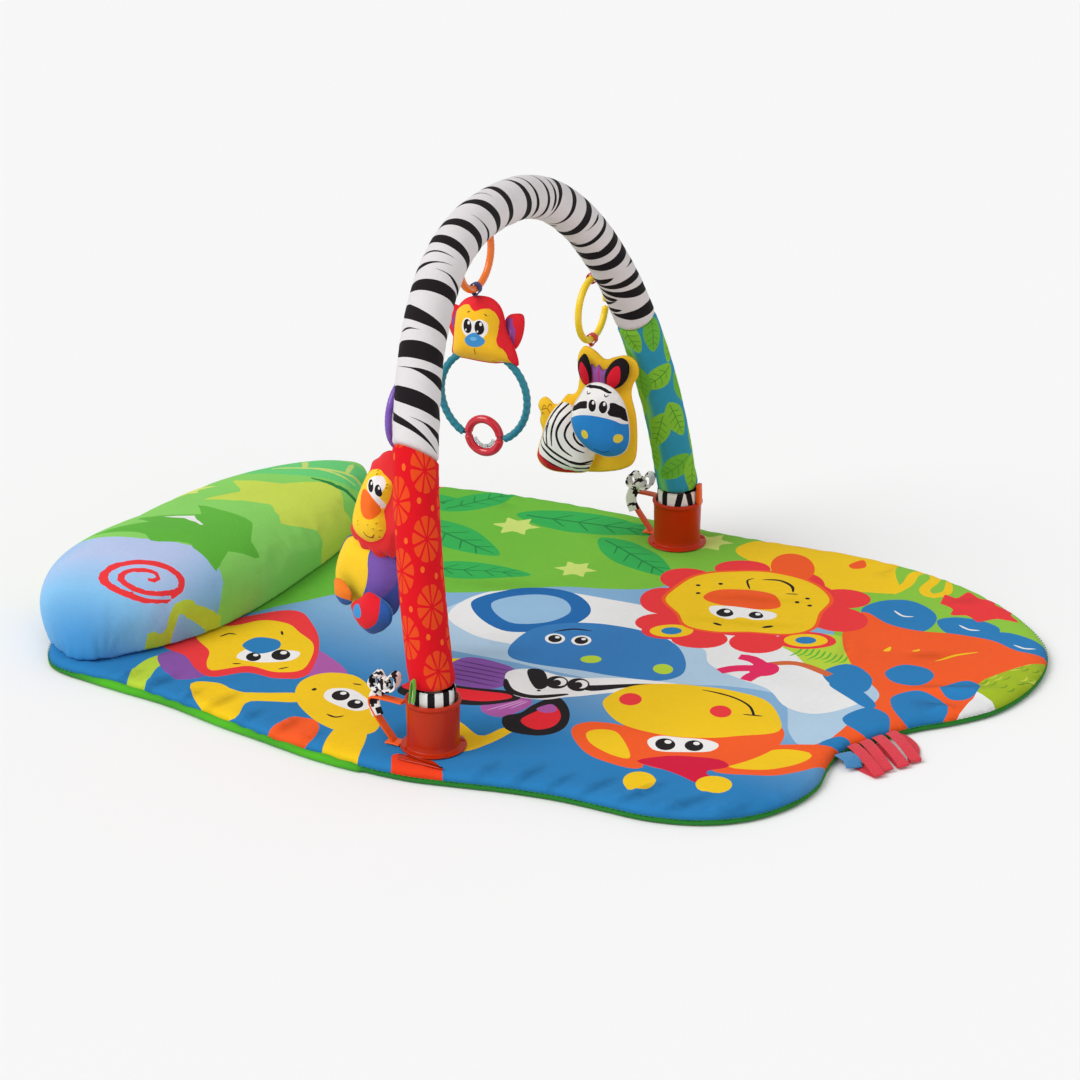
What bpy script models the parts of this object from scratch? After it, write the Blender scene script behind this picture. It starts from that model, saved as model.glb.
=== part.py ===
"""Activity play gym: a quilted floor mat with a head pillow, a padded toy arch that lifts out of two
cups, and three soft toys that swing on split rings.

Metres, +Z up. X runs along the mat from the head end (-X) to the foot end (+X) and Y across it. The origin
is on the floor, midway between the two cups.
"""
import math

import bmesh
import bpy
from mathutils import Matrix, Vector

GAP = 0.0004                    # between faces that touch on the real object

# Mat
UNDERSIDE_TOP = 0.0016          # backing cloth, from the floor up
COVER_TOP = 0.0133              # top of the printed cover
COVER_THICK = 0.0012
EDGE_RADIUS = 0.0062            # round green binding
OUTLINE_SAMPLES = 2             # per outline point

# Head pillow: a crescent along the mat's head end
PILLOW_HALF_LENGTH = 0.262
PILLOW_MIDDLE_Y = 0.004
PILLOW_HEIGHT = 0.058
PILLOW_OUTER = (-0.468, 0.105, 2.6)     # x at its middle, how far the ends draw in, and the curve's power
PILLOW_INNER = (-0.285, -0.085, 2.2)
PILLOW_BASE = -0.02                     # the ball is cut flat here

# Sockets
SOCKET_Y = 0.263                # each cup's distance from the mat's middle
CUP_RIM_Z = 0.0615
CUP_INNER_R = 0.0218
FLANGE_R = 0.030
PLATE_R = 0.026

# Straps from each cup's rim, and the bow tied on each
STRAP_Y = 0.2735
STRAP_WIDTH = 0.010
STRAP_THICK = 0.0016
STRAP_PATH = [                  # x and z, from the cup's rim round the outer corner to the mat
    (-0.0268, 0.0555), (-0.040, 0.0560), (-0.0535, 0.0558), (-0.0565, 0.0540), (-0.0565, 0.0510),
    (-0.0500, 0.0380), (-0.0400, 0.0240), (-0.0345, 0.0168), (-0.0330, 0.0143),
]
BOW_PLACE = (-0.0450, 0.2700, 0.0690)
BOW_RADII = (0.0120, 0.0085, 0.0115)

# Arch
ARCH_FOOT_Z = 0.060             # where the bent tube starts, just under the cup's rim
ARCH_RISE = 0.37
ARCH_LEAN = 0.072               # how far the crown leans towards the head end
TUBE_R = 0.008
FOAM_R = 0.0178
SLEEVE_R = 0.021
SLEEVE_THICK = 0.00105
RED_END = math.radians(35)      # red sleeve to zebra sleeve
ZEBRA_END = math.radians(147.5)  # zebra sleeve to leaf sleeve
CUFF_TOP_Z = 0.0735
BEND_START_Z = 0.092            # the tube rises straight up to here
SEAM_GAP = 0.0013               # drawn in at each sleeve's end, where the bend tilts one end to the other

# Split rings and their loops
RING_R = 0.0315                 # middle of the ring's bar
BAR_R = 0.0035
LOOP_HOLE_R = 0.0047
LOOP_THICK = 0.0012
LOOP_WIDTH = 0.007
LOOP_SIDES = 14

# Centres of the three split rings, and the half-plane that each toy faces
MONKEY_RING = Vector((-0.094, 0.004, 0.380))
ZEBRA_RING = Vector((-0.072, 0.2095, 0.2695))
LION_RING = Vector((-0.072, -0.174, 0.2890))
LION_TURN = math.radians(-30)   # the lion looks a little towards the head end

# The monkey's hoop and rattle
HOOP_R = 0.0455
HOOP_BAR_R = 0.0036
RATTLE_R = 0.0165
RATTLE_BAR_R = 0.0040

# Mat outline, counter-clockwise from the near corner of the head end
OUTLINE = [
    (-0.400, -0.262), (-0.341, -0.267), (-0.286, -0.274), (-0.231, -0.285), (-0.182, -0.296),
    (-0.134, -0.306), (-0.090, -0.312), (-0.046, -0.316), (0.000, -0.315), (0.045, -0.306),
    (0.090, -0.296), (0.137, -0.290), (0.180, -0.290), (0.216, -0.290), (0.250, -0.283),
    (0.281, -0.268), (0.308, -0.242), (0.326, -0.206), (0.332, -0.168), (0.326, -0.130),
    (0.326, -0.098), (0.342, -0.062), (0.366, -0.023), (0.397, 0.011), (0.422, 0.050),
    (0.434, 0.104), (0.430, 0.162), (0.410, 0.208), (0.371, 0.250), (0.320, 0.284),
    (0.269, 0.305), (0.220, 0.316), (0.167, 0.320), (0.115, 0.317), (0.060, 0.314),
    (0.000, 0.314), (-0.070, 0.316), (-0.150, 0.316), (-0.230, 0.310), (-0.300, 0.296),
    (-0.352, 0.273), (-0.396, 0.238), (-0.436, 0.184), (-0.464, 0.112), (-0.476, 0.030),
    (-0.474, -0.060), (-0.462, -0.145), (-0.446, -0.205), (-0.426, -0.244),
]


# ---------------------------------------------------------------- helpers

for item in list(bpy.data.objects):
    bpy.data.objects.remove(item, do_unlink=True)

PARTS = bpy.data.collections.new("activity_play_gym")
bpy.context.scene.collection.children.link(PARTS)


def material(name, colour, roughness=0.8, metallic=0.0, alpha=1.0):
    mat = bpy.data.materials.get(name) or bpy.data.materials.new(name)
    mat.use_nodes = True
    shader = mat.node_tree.nodes["Principled BSDF"]
    shader.inputs["Base Color"].default_value = (*colour, 1.0)
    shader.inputs["Roughness"].default_value = roughness
    shader.inputs["Metallic"].default_value = metallic
    shader.inputs["Alpha"].default_value = alpha
    return mat


def finish(obj, mat, parent=None, smooth=True):
    """Puts a new part in the collection, gives it its material and hangs it on its moving empty."""
    for owner in list(obj.users_collection):
        owner.objects.unlink(obj)
    PARTS.objects.link(obj)
    obj.data.materials.clear()
    obj.data.materials.append(mat)
    if obj.type == "MESH" and smooth:
        obj.data.shade_smooth()
        obj.data.set_sharp_from_angle(angle=math.radians(40))
    if parent:
        bpy.context.view_layer.update()
        obj.parent = parent
        obj.matrix_parent_inverse = parent.matrix_world.inverted()
    return obj


def pivot(name, place, parent=None):
    """An empty on a joint's axis. What moves with that joint is parented to it."""
    empty = bpy.data.objects.new(name, None)
    empty.empty_display_size = 0.01
    bpy.context.scene.collection.objects.link(empty)
    empty.location = place
    bpy.context.view_layer.update()
    if parent:
        empty.parent = parent
        empty.matrix_parent_inverse = parent.matrix_world.inverted()
        bpy.context.view_layer.update()
    return empty


def smooth_loop(points, samples=OUTLINE_SAMPLES):
    """Catmull-Rom points through a closed loop."""
    out = []
    count = len(points)
    for i in range(count):
        a, b, c, d = (Vector(points[(i + k) % count]) for k in (-1, 0, 1, 2))
        for s in range(samples):
            t = s / samples
            out.append(0.5 * (2 * b + (c - a) * t + (2 * a - 5 * b + 4 * c - d) * t * t
                              + (3 * b - a - 3 * c + d) * t ** 3))
    return out


def inset_loop(points, distance):
    """Moves each point of a counter-clockwise loop inwards along its normal."""
    out = []
    for i, here in enumerate(points):
        along = (points[(i + 1) % len(points)] - points[i - 1]).normalized()
        out.append(here + Vector((-along.y, along.x)) * distance)
    return out


def circle(centre, radius, count=20):
    return [Vector((centre[0] + radius * math.cos(a), centre[1] + radius * math.sin(a)))
            for a in (2 * math.pi * i / count for i in range(count))]


def curve_object(name, loops, cyclic, flat):
    data = bpy.data.curves.new(name, "CURVE")
    data.dimensions = "2D" if flat else "3D"
    data.render_resolution_u = 0
    for loop in loops:
        spline = data.splines.new("POLY")
        spline.points.add(len(loop) - 1)
        for point, co in zip(spline.points, loop):
            point.co = (*co, 0.0, 1.0) if len(co) == 2 else (*co, 1.0)
        spline.use_cyclic_u = cyclic
    return bpy.data.objects.new(name, data)


def plate(name, loops, low, high, mat, parent=None, turn=None):
    """A flat outline, with holes if there is more than one loop, from low to high along its own normal."""
    obj = curve_object(name, loops, True, True)
    obj.data.fill_mode = "BOTH"
    obj.data.extrude = (high - low) / 2
    obj.matrix_world = (turn or Matrix()) @ Matrix.Translation((0, 0, (low + high) / 2))
    return finish(obj, mat, parent)


def tube(name, points, radius, mat, parent=None, cyclic=False, wall=0.0, sides=2, radii=None):
    """A round bar along points, or a pipe when it has a wall."""
    obj = curve_object(name, [points], cyclic, False)
    obj.data.bevel_depth = radius
    obj.data.bevel_resolution = sides
    obj.data.use_fill_caps = not (cyclic or wall)
    if radii:
        for point, share in zip(obj.data.splines[0].points, radii):
            point.radius = share
    if wall:
        shell = obj.modifiers.new("wall", "SOLIDIFY")
        shell.thickness = wall
        shell.offset = -1.0
    return finish(obj, mat, parent)


def ribbon(name, path, width, thick, turn, mat, parent=None):
    """A strip of webbing: a path in a plane, as wide as the webbing along the plane's normal."""
    obj = curve_object(name, [path], False, True)
    obj.data.fill_mode = "NONE"
    obj.data.extrude = width / 2
    obj.matrix_world = turn
    shell = obj.modifiers.new("cloth", "SOLIDIFY")
    shell.thickness = thick
    shell.offset = 0.0
    return finish(obj, mat, parent)


def turned(name, profile, mat, place, steps=24, parent=None):
    """A profile of (radius, height) turned about Z. It runs down its outer side."""
    mesh = bpy.data.meshes.new(name)
    mesh.from_pydata([(r, 0, z) for r, z in profile], [(i, i + 1) for i in range(len(profile) - 1)], [])
    obj = bpy.data.objects.new(name, mesh)
    obj.location = place
    screw = obj.modifiers.new("turn", "SCREW")
    screw.steps = screw.render_steps = steps
    screw.use_merge_vertices = True
    screw.merge_threshold = 0.00001
    return finish(obj, mat, parent, smooth=False)


def ball(name, centre, radii, mat, parent=None, turn=0.0, tilt=0.0, shape=None, segments=14, rings=8):
    """A stuffed form: a sphere stretched to its three radii, and reshaped by a function if it has one."""
    bpy.ops.mesh.primitive_uv_sphere_add(segments=segments, ring_count=rings, radius=1.0)
    obj = bpy.context.object
    obj.name = obj.data.name = name
    bm = bmesh.new()
    bm.from_mesh(obj.data)
    for v in bm.verts:
        co = shape(v.co) if shape else v.co
        v.co = Vector((co.x * radii[0], co.y * radii[1], co.z * radii[2]))
    bm.to_mesh(obj.data)
    bm.free()
    obj.matrix_world = (Matrix.Translation(centre) @ Matrix.Rotation(turn, 4, "Z")
                        @ Matrix.Rotation(tilt, 4, "Y"))
    return finish(obj, mat, parent)


# ---------------------------------------------------------------- materials

ORANGE = material("orange_plastic", (0.80, 0.14, 0.02), 0.35)
GREEN = material("green_cloth", (0.22, 0.62, 0.06), 0.85)
BLUE = material("printed_cover", (0.06, 0.33, 0.72), 0.85)
PILLOW = material("pillow_cloth", (0.25, 0.55, 0.80), 0.85)
WADDING = material("wadding", (0.85, 0.85, 0.85), 0.95)
RED = material("red_cloth", (0.80, 0.04, 0.03), 0.85)
ZEBRA = material("zebra_cloth", (0.85, 0.85, 0.84), 0.85)
LEAF = material("leaf_cloth", (0.10, 0.45, 0.35), 0.85)
CHECK = material("checked_cloth", (0.30, 0.30, 0.30), 0.85)
FOAM = material("foam", (0.75, 0.75, 0.72), 0.95)
TUBE = material("tube_plastic", (0.80, 0.80, 0.80), 0.40)
STEEL = material("screw_steel", (0.60, 0.60, 0.62), 0.30, 1.0)
GREY = material("tag_cloth", (0.40, 0.43, 0.45), 0.60)
YELLOW = material("yellow_plush", (0.90, 0.62, 0.04), 0.90)
TEAL = material("teal_plastic", (0.01, 0.33, 0.40), 0.35)
RATTLE_RED = material("rattle_red", (0.75, 0.03, 0.05), 0.30)
CLEAR = material("clear_plastic", (0.90, 0.92, 0.94), 0.08, 0.0, 0.35)
YELLOW_PLASTIC = material("yellow_plastic", (0.95, 0.70, 0.02), 0.35)
LINK_ORANGE = material("link_orange", (0.90, 0.30, 0.04), 0.35)
PURPLE = material("purple_plastic", (0.30, 0.12, 0.50), 0.35)
NAVY = material("navy_webbing", (0.05, 0.06, 0.25), 0.85)


# ---------------------------------------------------------------- arch line

def arch_point(t):
    """The arch's middle line: t is 0 at the near foot and pi at the far one."""
    side = -math.copysign(SOCKET_Y * abs(math.cos(t)) ** 0.83, math.cos(t))
    return Vector((-ARCH_LEAN * math.sin(t) ** 1.26, side, ARCH_FOOT_Z + ARCH_RISE * math.sin(t)))


def stations(start, end, count):
    return [start + (end - start) * i / (count - 1) for i in range(count)]


BEND_T = math.asin((BEND_START_Z - ARCH_FOOT_Z) / ARCH_RISE)
RED_RUN = stations(BEND_T, RED_END, 6)
ZEBRA_RUN = stations(RED_END, ZEBRA_END, 20)
LEAF_RUN = stations(ZEBRA_END, math.pi - BEND_T, 6)


def straight_foot(side, low):
    """The two points of the straight stretch at a foot of the arch, from the floor up."""
    return [Vector((0, side * SOCKET_Y, low)), Vector((0, side * SOCKET_Y, low + 0.006))]


def end_trimmed(points, amount):
    """The same run with its two ends drawn in a little, so that neighbouring sleeves don't touch."""
    out = [p.copy() for p in points]
    out[0] += (points[1] - points[0]).normalized() * amount
    out[-1] += (points[-2] - points[-1]).normalized() * amount
    return out


# ---------------------------------------------------------------- mat

def build_mat():
    edge = smooth_loop(OUTLINE)
    rim = inset_loop(edge, EDGE_RADIUS)
    cloth = inset_loop(edge, 2 * EDGE_RADIUS + GAP)
    sockets = [(0, -SOCKET_Y), (0, SOCKET_Y)]
    wadding_low = UNDERSIDE_TOP + GAP
    cover_low = COVER_TOP - COVER_THICK
    plate("mat_underside", [cloth], 0.0, UNDERSIDE_TOP, GREEN)
    plate("mat_wadding", [cloth] + [circle(s, PLATE_R + 0.0012) for s in sockets],
          wadding_low, cover_low - GAP, WADDING)
    plate("mat_cover", [cloth] + [circle(s, 0.0055, 12) for s in sockets], cover_low, COVER_TOP, BLUE)
    tube("mat_binding", [Vector((p.x, p.y, EDGE_RADIUS + 0.0002)) for p in rim], EDGE_RADIUS, GREEN,
         cyclic=True)

    def crescent(co):
        """Squeezes the ball to the mat's head end: bowed outside, hollowed inside, flat below."""
        side = co.y
        share = math.sqrt(max(1 - side * side, 0.0)) or 1.0
        outer, inner = (start + draw * abs(side) ** power
                        for start, draw, power in (PILLOW_OUTER, PILLOW_INNER))
        middle, half = (outer + inner) / 2, (inner - outer) / 2
        bulge = max(1 - abs(side) ** 4.0, 0.0) ** 0.5
        base = COVER_TOP + GAP
        along = side * PILLOW_HALF_LENGTH + PILLOW_MIDDLE_Y
        if abs(side) >= 0.999:
            return Vector((middle, along, base))
        across = middle + half * (co.x / share) * bulge ** 0.4
        height = base + max(co.z, PILLOW_BASE) / share * PILLOW_HEIGHT * bulge
        return Vector((across, along, max(height, base)))

    ball("head_pillow", (0, 0, 0), (1, 1, 1), PILLOW, shape=crescent, segments=20, rings=18)


def build_socket(side, word):
    place = Vector((0, side * SOCKET_Y, 0))
    turned(f"socket_cup_{word}", [
        (0.0, 0.0160), (0.0190, 0.0160), (CUP_INNER_R, 0.0195), (CUP_INNER_R, 0.0590),
        (0.0223, 0.0609), (0.0238, CUP_RIM_Z), (0.0252, 0.0606), (0.0257, 0.0589), (0.0251, 0.0573),
        (0.0243, 0.0566), (0.0236, 0.0200), (0.0242, 0.0163), (FLANGE_R - 0.0006, 0.0157),
        (FLANGE_R, 0.0147), (FLANGE_R - 0.0006, 0.0138), (0.0050, 0.0138), (0.0050, 0.0060),
        (0.0021, 0.0060), (0.0021, 0.0130), (0.0, 0.0130)], ORANGE, place)
    turned(f"backing_plate_{word}", [
        (0.0024, 0.0056), (PLATE_R, 0.0056), (PLATE_R, 0.0037), (0.0024, 0.0037), (0.0024, 0.0056)],
        STEEL, place)
    turned(f"socket_screw_{word}", [
        (0.0, 0.0124), (0.0017, 0.0124), (0.0017, 0.0033), (0.0040, 0.0033), (0.0040, 0.0021),
        (0.0, 0.0021)], STEEL, place, steps=12)
    strap_and_bow(side, word)


def strap_and_bow(side, word):
    """The orange strap from the cup's rim, out towards the head end and down to the mat's edge."""
    upright = Matrix.Translation((0, side * STRAP_Y, 0)) @ Matrix.Rotation(math.pi / 2, 4, "X")
    path = [Vector(p) for p in STRAP_PATH]
    ribbon(f"socket_strap_{word}", path, STRAP_WIDTH, STRAP_THICK, upright, ORANGE)
    x, y, z = BOW_PLACE
    ball(f"cloth_bow_{word}", (x, side * y, z), BOW_RADII, CHECK)


def build_trim():
    """Small pieces sewn to the mat's edge."""
    out = Vector((0.73, -0.683)).normalized()
    reach = 0.044
    starts = [(0.3356, -0.0904), (0.3414, -0.0769), (0.3489, -0.0634), (0.3562, -0.0493)]
    for number, (x, y) in enumerate(starts, 1):
        turn = Matrix.Translation((x, y, 0)) @ Matrix.Rotation(
            math.atan2(out.y, out.x), 4, "Z") @ Matrix.Rotation(math.pi / 2, 4, "X")
        path = [Vector(p) for p in ((0, 0.0062), (0.012, 0.0060), (0.028, 0.0046), (reach - 0.002, 0.0040),
                                    (reach, 0.0028), (reach - 0.002, 0.0017), (0.026, 0.0018), (0, 0.0032))]
        ribbon(f"ribbon_loop_{number}", path, 0.010, 0.0007, turn, RED)
    plate("blue_tab", [[Vector(p) for p in ((0.3290, -0.0985), (0.3290, -0.1200), (0.3440, -0.1195),
                                            (0.3340, -0.1030))]], 0.004, 0.0056, NAVY)
    tag = Matrix.Translation((-0.381, 0.258, 0.026)) @ Matrix.Rotation(math.radians(36), 4, "Z") \
        @ Matrix.Rotation(math.radians(72), 4, "X")
    plate("blank_tag", [[Vector(p) for p in ((-0.013, -0.005), (0.013, -0.005), (0.013, 0.005),
                                             (-0.013, 0.005))]], 0.0, 0.0010, GREY, turn=tag)
    plate("edge_patch", [[Vector(p) for p in ((-0.019, -0.2935), (0.016, -0.2935), (0.030, -0.300),
                                              (-0.014, -0.300))]], COVER_TOP + GAP, COVER_TOP + 0.0016,
          ORANGE)


# ---------------------------------------------------------------- arch

def build_arch(lift):
    bend = [arch_point(t) for t in RED_RUN + ZEBRA_RUN[1:] + LEAF_RUN[1:]]
    line = straight_foot(-1, ARCH_FOOT_Z) + bend + straight_foot(1, ARCH_FOOT_Z)[::-1]
    tube("arch_tube", line, TUBE_R, TUBE, lift, wall=0.002)
    tube("arch_foam", line, FOAM_R, FOAM, lift, wall=FOAM_R - TUBE_R - 0.0012)
    red, zebra, leaf = ([arch_point(t) for t in run] for run in (RED_RUN, ZEBRA_RUN, LEAF_RUN))
    red = straight_foot(-1, CUFF_TOP_Z) + red
    leaf = leaf + straight_foot(1, CUFF_TOP_Z)[::-1]
    for name, points, mat in (("red_sleeve", red, RED), ("zebra_sleeve", zebra, ZEBRA),
                              ("leaf_sleeve", leaf, LEAF)):
        tube(name, end_trimmed(points, SEAM_GAP), SLEEVE_R, mat, lift, wall=SLEEVE_THICK, sides=4)
    for side, word in ((-1, "near"), (1, "far")):
        place = Vector((0, side * SOCKET_Y, 0))
        turned(f"arch_plug_{word}", [(0.0, 0.0595), (0.0180, 0.0595), (0.0190, 0.0585), (0.0190, 0.0185),
                                     (0.0175, 0.0165), (0.0, 0.0165)], TUBE, place, steps=20, parent=lift)
        turned(f"arch_cuff_{word}", [(0.0197, CUFF_TOP_Z), (0.0208, CUFF_TOP_Z), (0.0208, 0.0480),
                                     (0.0197, 0.0480), (0.0197, CUFF_TOP_Z)], CHECK, place, parent=lift)
    tab_turn = Matrix.Translation((-0.0075, -SOCKET_Y - 0.0250, 0)) @ Matrix.Rotation(math.pi / 2, 4, "Z") \
        @ Matrix.Rotation(math.pi / 2, 4, "X")
    path = [Vector(p) for p in ((0.0020, 0.0640), (0.0012, 0.0740), (-0.0006, 0.0860), (-0.0018, 0.0872),
                                (-0.0030, 0.0860), (-0.0022, 0.0740), (-0.0012, 0.0640))]
    ribbon("green_tab", path, 0.008, 0.0007, tab_turn, GREEN, lift)


def arch_loop(name, ring, mat, lift):
    """A webbing loop round the top of a split ring, reaching back to the sleeve beside it."""
    top = ring + Vector((0, 0, RING_R))
    nearest = min((arch_point(i * math.pi / 720) for i in range(721)), key=lambda p: (p - top).length)
    reach = Vector((nearest.x - top.x, nearest.z - top.z)).normalized()
    outer = LOOP_HOLE_R + LOOP_THICK
    corners = [Vector((top.x, top.y + s * LOOP_WIDTH / 2, top.z)) for s in (-1, 0, 1)]
    extra = 0.0
    while extra < 0.02:
        ends = [c + Vector((reach.x, 0, reach.y)) * (outer + extra) for c in corners]
        near = min((arch_point(i * math.pi / 720) - e).length for i in range(721) for e in ends)
        if near < SLEEVE_R + 0.0020:
            break
        extra += 0.0002
    loop_band(name, top, reach, max(extra - 0.0002, 0.0), mat, lift)


def loop_band(name, hole, reach, extra, mat, parent):
    """A band round a ring's bar, its hole along Y, drawn out by extra along reach in the XZ plane."""
    angle = math.atan2(reach.y, reach.x)
    rings = []
    for radius in (LOOP_HOLE_R + LOOP_THICK, LOOP_HOLE_R):
        stretch = extra if radius > LOOP_HOLE_R else extra * 0.6
        loop = []
        for i in range(LOOP_SIDES):
            a = 2 * math.pi * i / LOOP_SIDES
            shift = stretch if math.cos(a) > 0 else 0.0
            loop.append(Vector((radius * math.cos(a) + shift, radius * math.sin(a))))
        rings.append(loop)
    turn = Matrix.Translation(hole) @ Matrix.Rotation(math.pi / 2, 4, "X") @ Matrix.Rotation(angle, 4, "Z")
    plate(name, rings, -LOOP_WIDTH / 2, LOOP_WIDTH / 2, mat, parent, turn)


def split_ring(name, centre, split, mat, parent):
    """A C-shaped ring in the arch's own plane, with its slit at the angle split from +Y."""
    slit = 0.0016 / RING_R
    angles = stations(split + slit, split + 2 * math.pi - slit, 24)
    points = [centre + Vector((0, math.cos(a), math.sin(a))) * RING_R for a in angles]
    tube(name, points, BAR_R, mat, parent)


def toy_loop(name, ring, drop, mat, parent):
    """The toy's own loop round the bottom of its split ring, with its sewn end drop below the bar."""
    hole = ring - Vector((0, 0, RING_R))
    loop_band(name, hole, Vector((0, -1)), drop - LOOP_HOLE_R - LOOP_THICK, mat, parent)


# ---------------------------------------------------------------- toys

def build_monkey(lift):
    ring = MONKEY_RING
    link = pivot("monkey_link_pivot", ring + Vector((0, 0, RING_R)), lift)
    toy = pivot("monkey_pivot", ring, link)
    arch_loop("arch_loop_monkey", ring, NAVY, lift)
    split_ring("monkey_ring", ring, math.radians(25), LINK_ORANGE, link)
    toy_loop("monkey_loop", ring, 0.0075, NAVY, toy)
    x, y = ring.x + 0.008, ring.y           # its loop is sewn a little to one side
    ball("monkey_head", (x, y, 0.3085), (0.0310, 0.0240, 0.0325), YELLOW, toy)
    for side, word in ((-1, "left"), (1, "right")):
        ball(f"monkey_ear_{word}", (x + side * 0.0382, y + 0.006, 0.3100), (0.0060, 0.0050, 0.0200), RED, toy,
             tilt=side * math.radians(8), segments=10)
    centre = Vector((x, y, 0.2433))
    start = math.asin((RATTLE_R + RATTLE_BAR_R + 0.0010) / HOOP_R)
    top_stop = math.radians(148)        # the hoop's upper part is sewn inside the head
    for side, word in ((-1, "left"), (1, "right")):
        angles = stations(start, top_stop, 13)
        arc = [centre + Vector((side * math.sin(a), 0, -math.cos(a))) * HOOP_R for a in angles]
        stub_z = arc[0].z
        stub = [Vector((x + side * r, y, stub_z)) for r in (RATTLE_R - 0.0012, RATTLE_R + RATTLE_BAR_R + 0.0004)]
        tube(f"monkey_hoop_{word}", stub + arc, HOOP_BAR_R, TEAL, toy, radii=[0.33, 0.33] + [1.0] * len(arc))
    rattle_z = centre.z - HOOP_R * math.cos(start)
    spin = pivot("rattle_pivot", (x, y, rattle_z), toy)
    build_rattle(Vector((x, y, rattle_z)), spin)


def build_rattle(centre, spin):
    """A red ring, bored at both sides for the hoop's two stubs, with a clear bead track inside it."""
    bpy.ops.mesh.primitive_torus_add(location=centre, rotation=(math.pi / 2, 0, 0), major_radius=RATTLE_R,
                                     minor_radius=RATTLE_BAR_R, major_segments=24, minor_segments=8)
    ring = bpy.context.object
    ring.name = ring.data.name = "rattle_ring"
    bpy.ops.mesh.primitive_cylinder_add(vertices=12, radius=0.0017, depth=0.06, location=centre,
                                        rotation=(0, math.pi / 2, 0))
    bore = bpy.context.object
    bore.name = "rattle_bore_cutter"
    bore.hide_render = True
    bore.display_type = "WIRE"
    for owner in list(bore.users_collection):
        owner.objects.unlink(bore)
    cutters = bpy.data.collections.get("cutters") or bpy.data.collections.new("cutters")
    if cutters.name not in bpy.context.scene.collection.children:
        bpy.context.scene.collection.children.link(cutters)
    cutters.objects.link(bore)
    cut = ring.modifiers.new("bore", "BOOLEAN")
    cut.operation = "DIFFERENCE"
    cut.object = bore
    finish(ring, RATTLE_RED, spin)
    bpy.context.view_layer.update()
    bore.parent = spin
    bore.matrix_parent_inverse = spin.matrix_world.inverted()
    track_r = RATTLE_R - RATTLE_BAR_R - 0.0022
    arc = [centre + Vector((math.cos(a), 0, math.sin(a))) * track_r
           for a in stations(math.radians(198), math.radians(342), 12)]
    tube("rattle_window", arc, 0.0019, CLEAR, spin, wall=0.0004)
    for number, a in enumerate((255, 290), 1):
        place = centre + Vector((math.cos(math.radians(a)), 0, math.sin(math.radians(a)))) * track_r
        ball(f"rattle_bead_{number}", place, (0.0010, 0.0010, 0.0010), YELLOW_PLASTIC, spin, segments=8, rings=6)


def build_zebra(lift):
    ring = ZEBRA_RING
    link = pivot("zebra_link_pivot", ring + Vector((0, 0, RING_R)), lift)
    toy = pivot("zebra_pivot", ring, link)
    arch_loop("arch_loop_zebra", ring, RED, lift)
    split_ring("zebra_ring", ring, math.radians(-8), YELLOW_PLASTIC, link)
    toy_loop("zebra_loop", ring, 0.0080, RED, toy)
    x, y = ring.x, ring.y
    outline = [(-0.006, 0.229), (-0.014, 0.223), (-0.018, 0.212), (-0.017, 0.196), (-0.030, 0.178),
               (-0.053, 0.166), (-0.060, 0.150), (-0.060, 0.112), (-0.050, 0.098), (-0.022, 0.092),
               (0.020, 0.096), (0.044, 0.108), (0.054, 0.132), (0.051, 0.162), (0.047, 0.187),
               (0.051, 0.205), (0.048, 0.220), (0.037, 0.226), (0.024, 0.222), (0.014, 0.219),
               (0.003, 0.226)]
    felt = smooth_loop([Vector(p) for p in outline], 2)
    turn = Matrix.Translation((x, y, 0)) @ Matrix.Rotation(math.pi / 2, 4, "X")
    plate("zebra_backing", [felt], -0.0040, -0.0010, YELLOW, toy, turn)
    ball("zebra_body", (x - 0.031, y - 0.0102, 0.1270), (0.0270, 0.0105, 0.0330), ZEBRA, toy)
    ball("zebra_head", (x + 0.021, y - 0.0262, 0.1630), (0.0315, 0.0155, 0.0370), ZEBRA, toy)
    for side, word in ((-1, "left"), (1, "right")):
        ball(f"zebra_ear_{word}", (x + 0.014 + side * 0.0190, y - 0.0062, 0.2085), (0.0080, 0.0048, 0.0160),
             RED, toy, tilt=side * math.radians(18), segments=10)


def build_lion(lift):
    ring = LION_RING
    link = pivot("lion_link_pivot", ring + Vector((0, 0, RING_R)), lift)
    toy = pivot("lion_pivot", ring, link)
    arch_loop("arch_loop_lion", ring, RED, lift)
    split_ring("lion_ring", ring, math.radians(0), PURPLE, link)
    toy_loop("lion_loop", ring, 0.0072, RED, toy)
    out = Vector((math.sin(LION_TURN), -math.cos(LION_TURN), 0))
    across = Vector((math.cos(LION_TURN), math.sin(LION_TURN), 0))
    base = Vector((ring.x, ring.y, 0))
    pieces = [                          # name, across, out, height, radii
        ("lion_mane", 0.0, -0.0030, 0.2010, (0.0440, 0.0090, 0.0475), RED),
        ("lion_head", -0.0100, 0.0240, 0.2035, (0.0300, 0.0170, 0.0375), YELLOW),
        ("lion_body", -0.0200, 0.0200, 0.1240, (0.0330, 0.0200, 0.0360), YELLOW),
        ("lion_foot_left", -0.0440, 0.0445, 0.1030, (0.0140, 0.0100, 0.0115), RED),
        ("lion_foot_right", 0.0040, 0.0440, 0.1060, (0.0180, 0.0100, 0.0180), RED),
    ]
    for name, aside, forward, height, radii, mat in pieces:
        place = base + across * aside + out * forward + Vector((0, 0, height))
        ball(name, place, radii, mat, toy, LION_TURN, segments=10 if "foot" in name else 14)


build_mat()
build_socket(-1, "near")
build_socket(1, "far")
build_trim()
LIFT = pivot("arch_pivot", (0, 0, ARCH_FOOT_Z))
build_arch(LIFT)
build_monkey(LIFT)
build_zebra(LIFT)
build_lion(LIFT)
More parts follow.
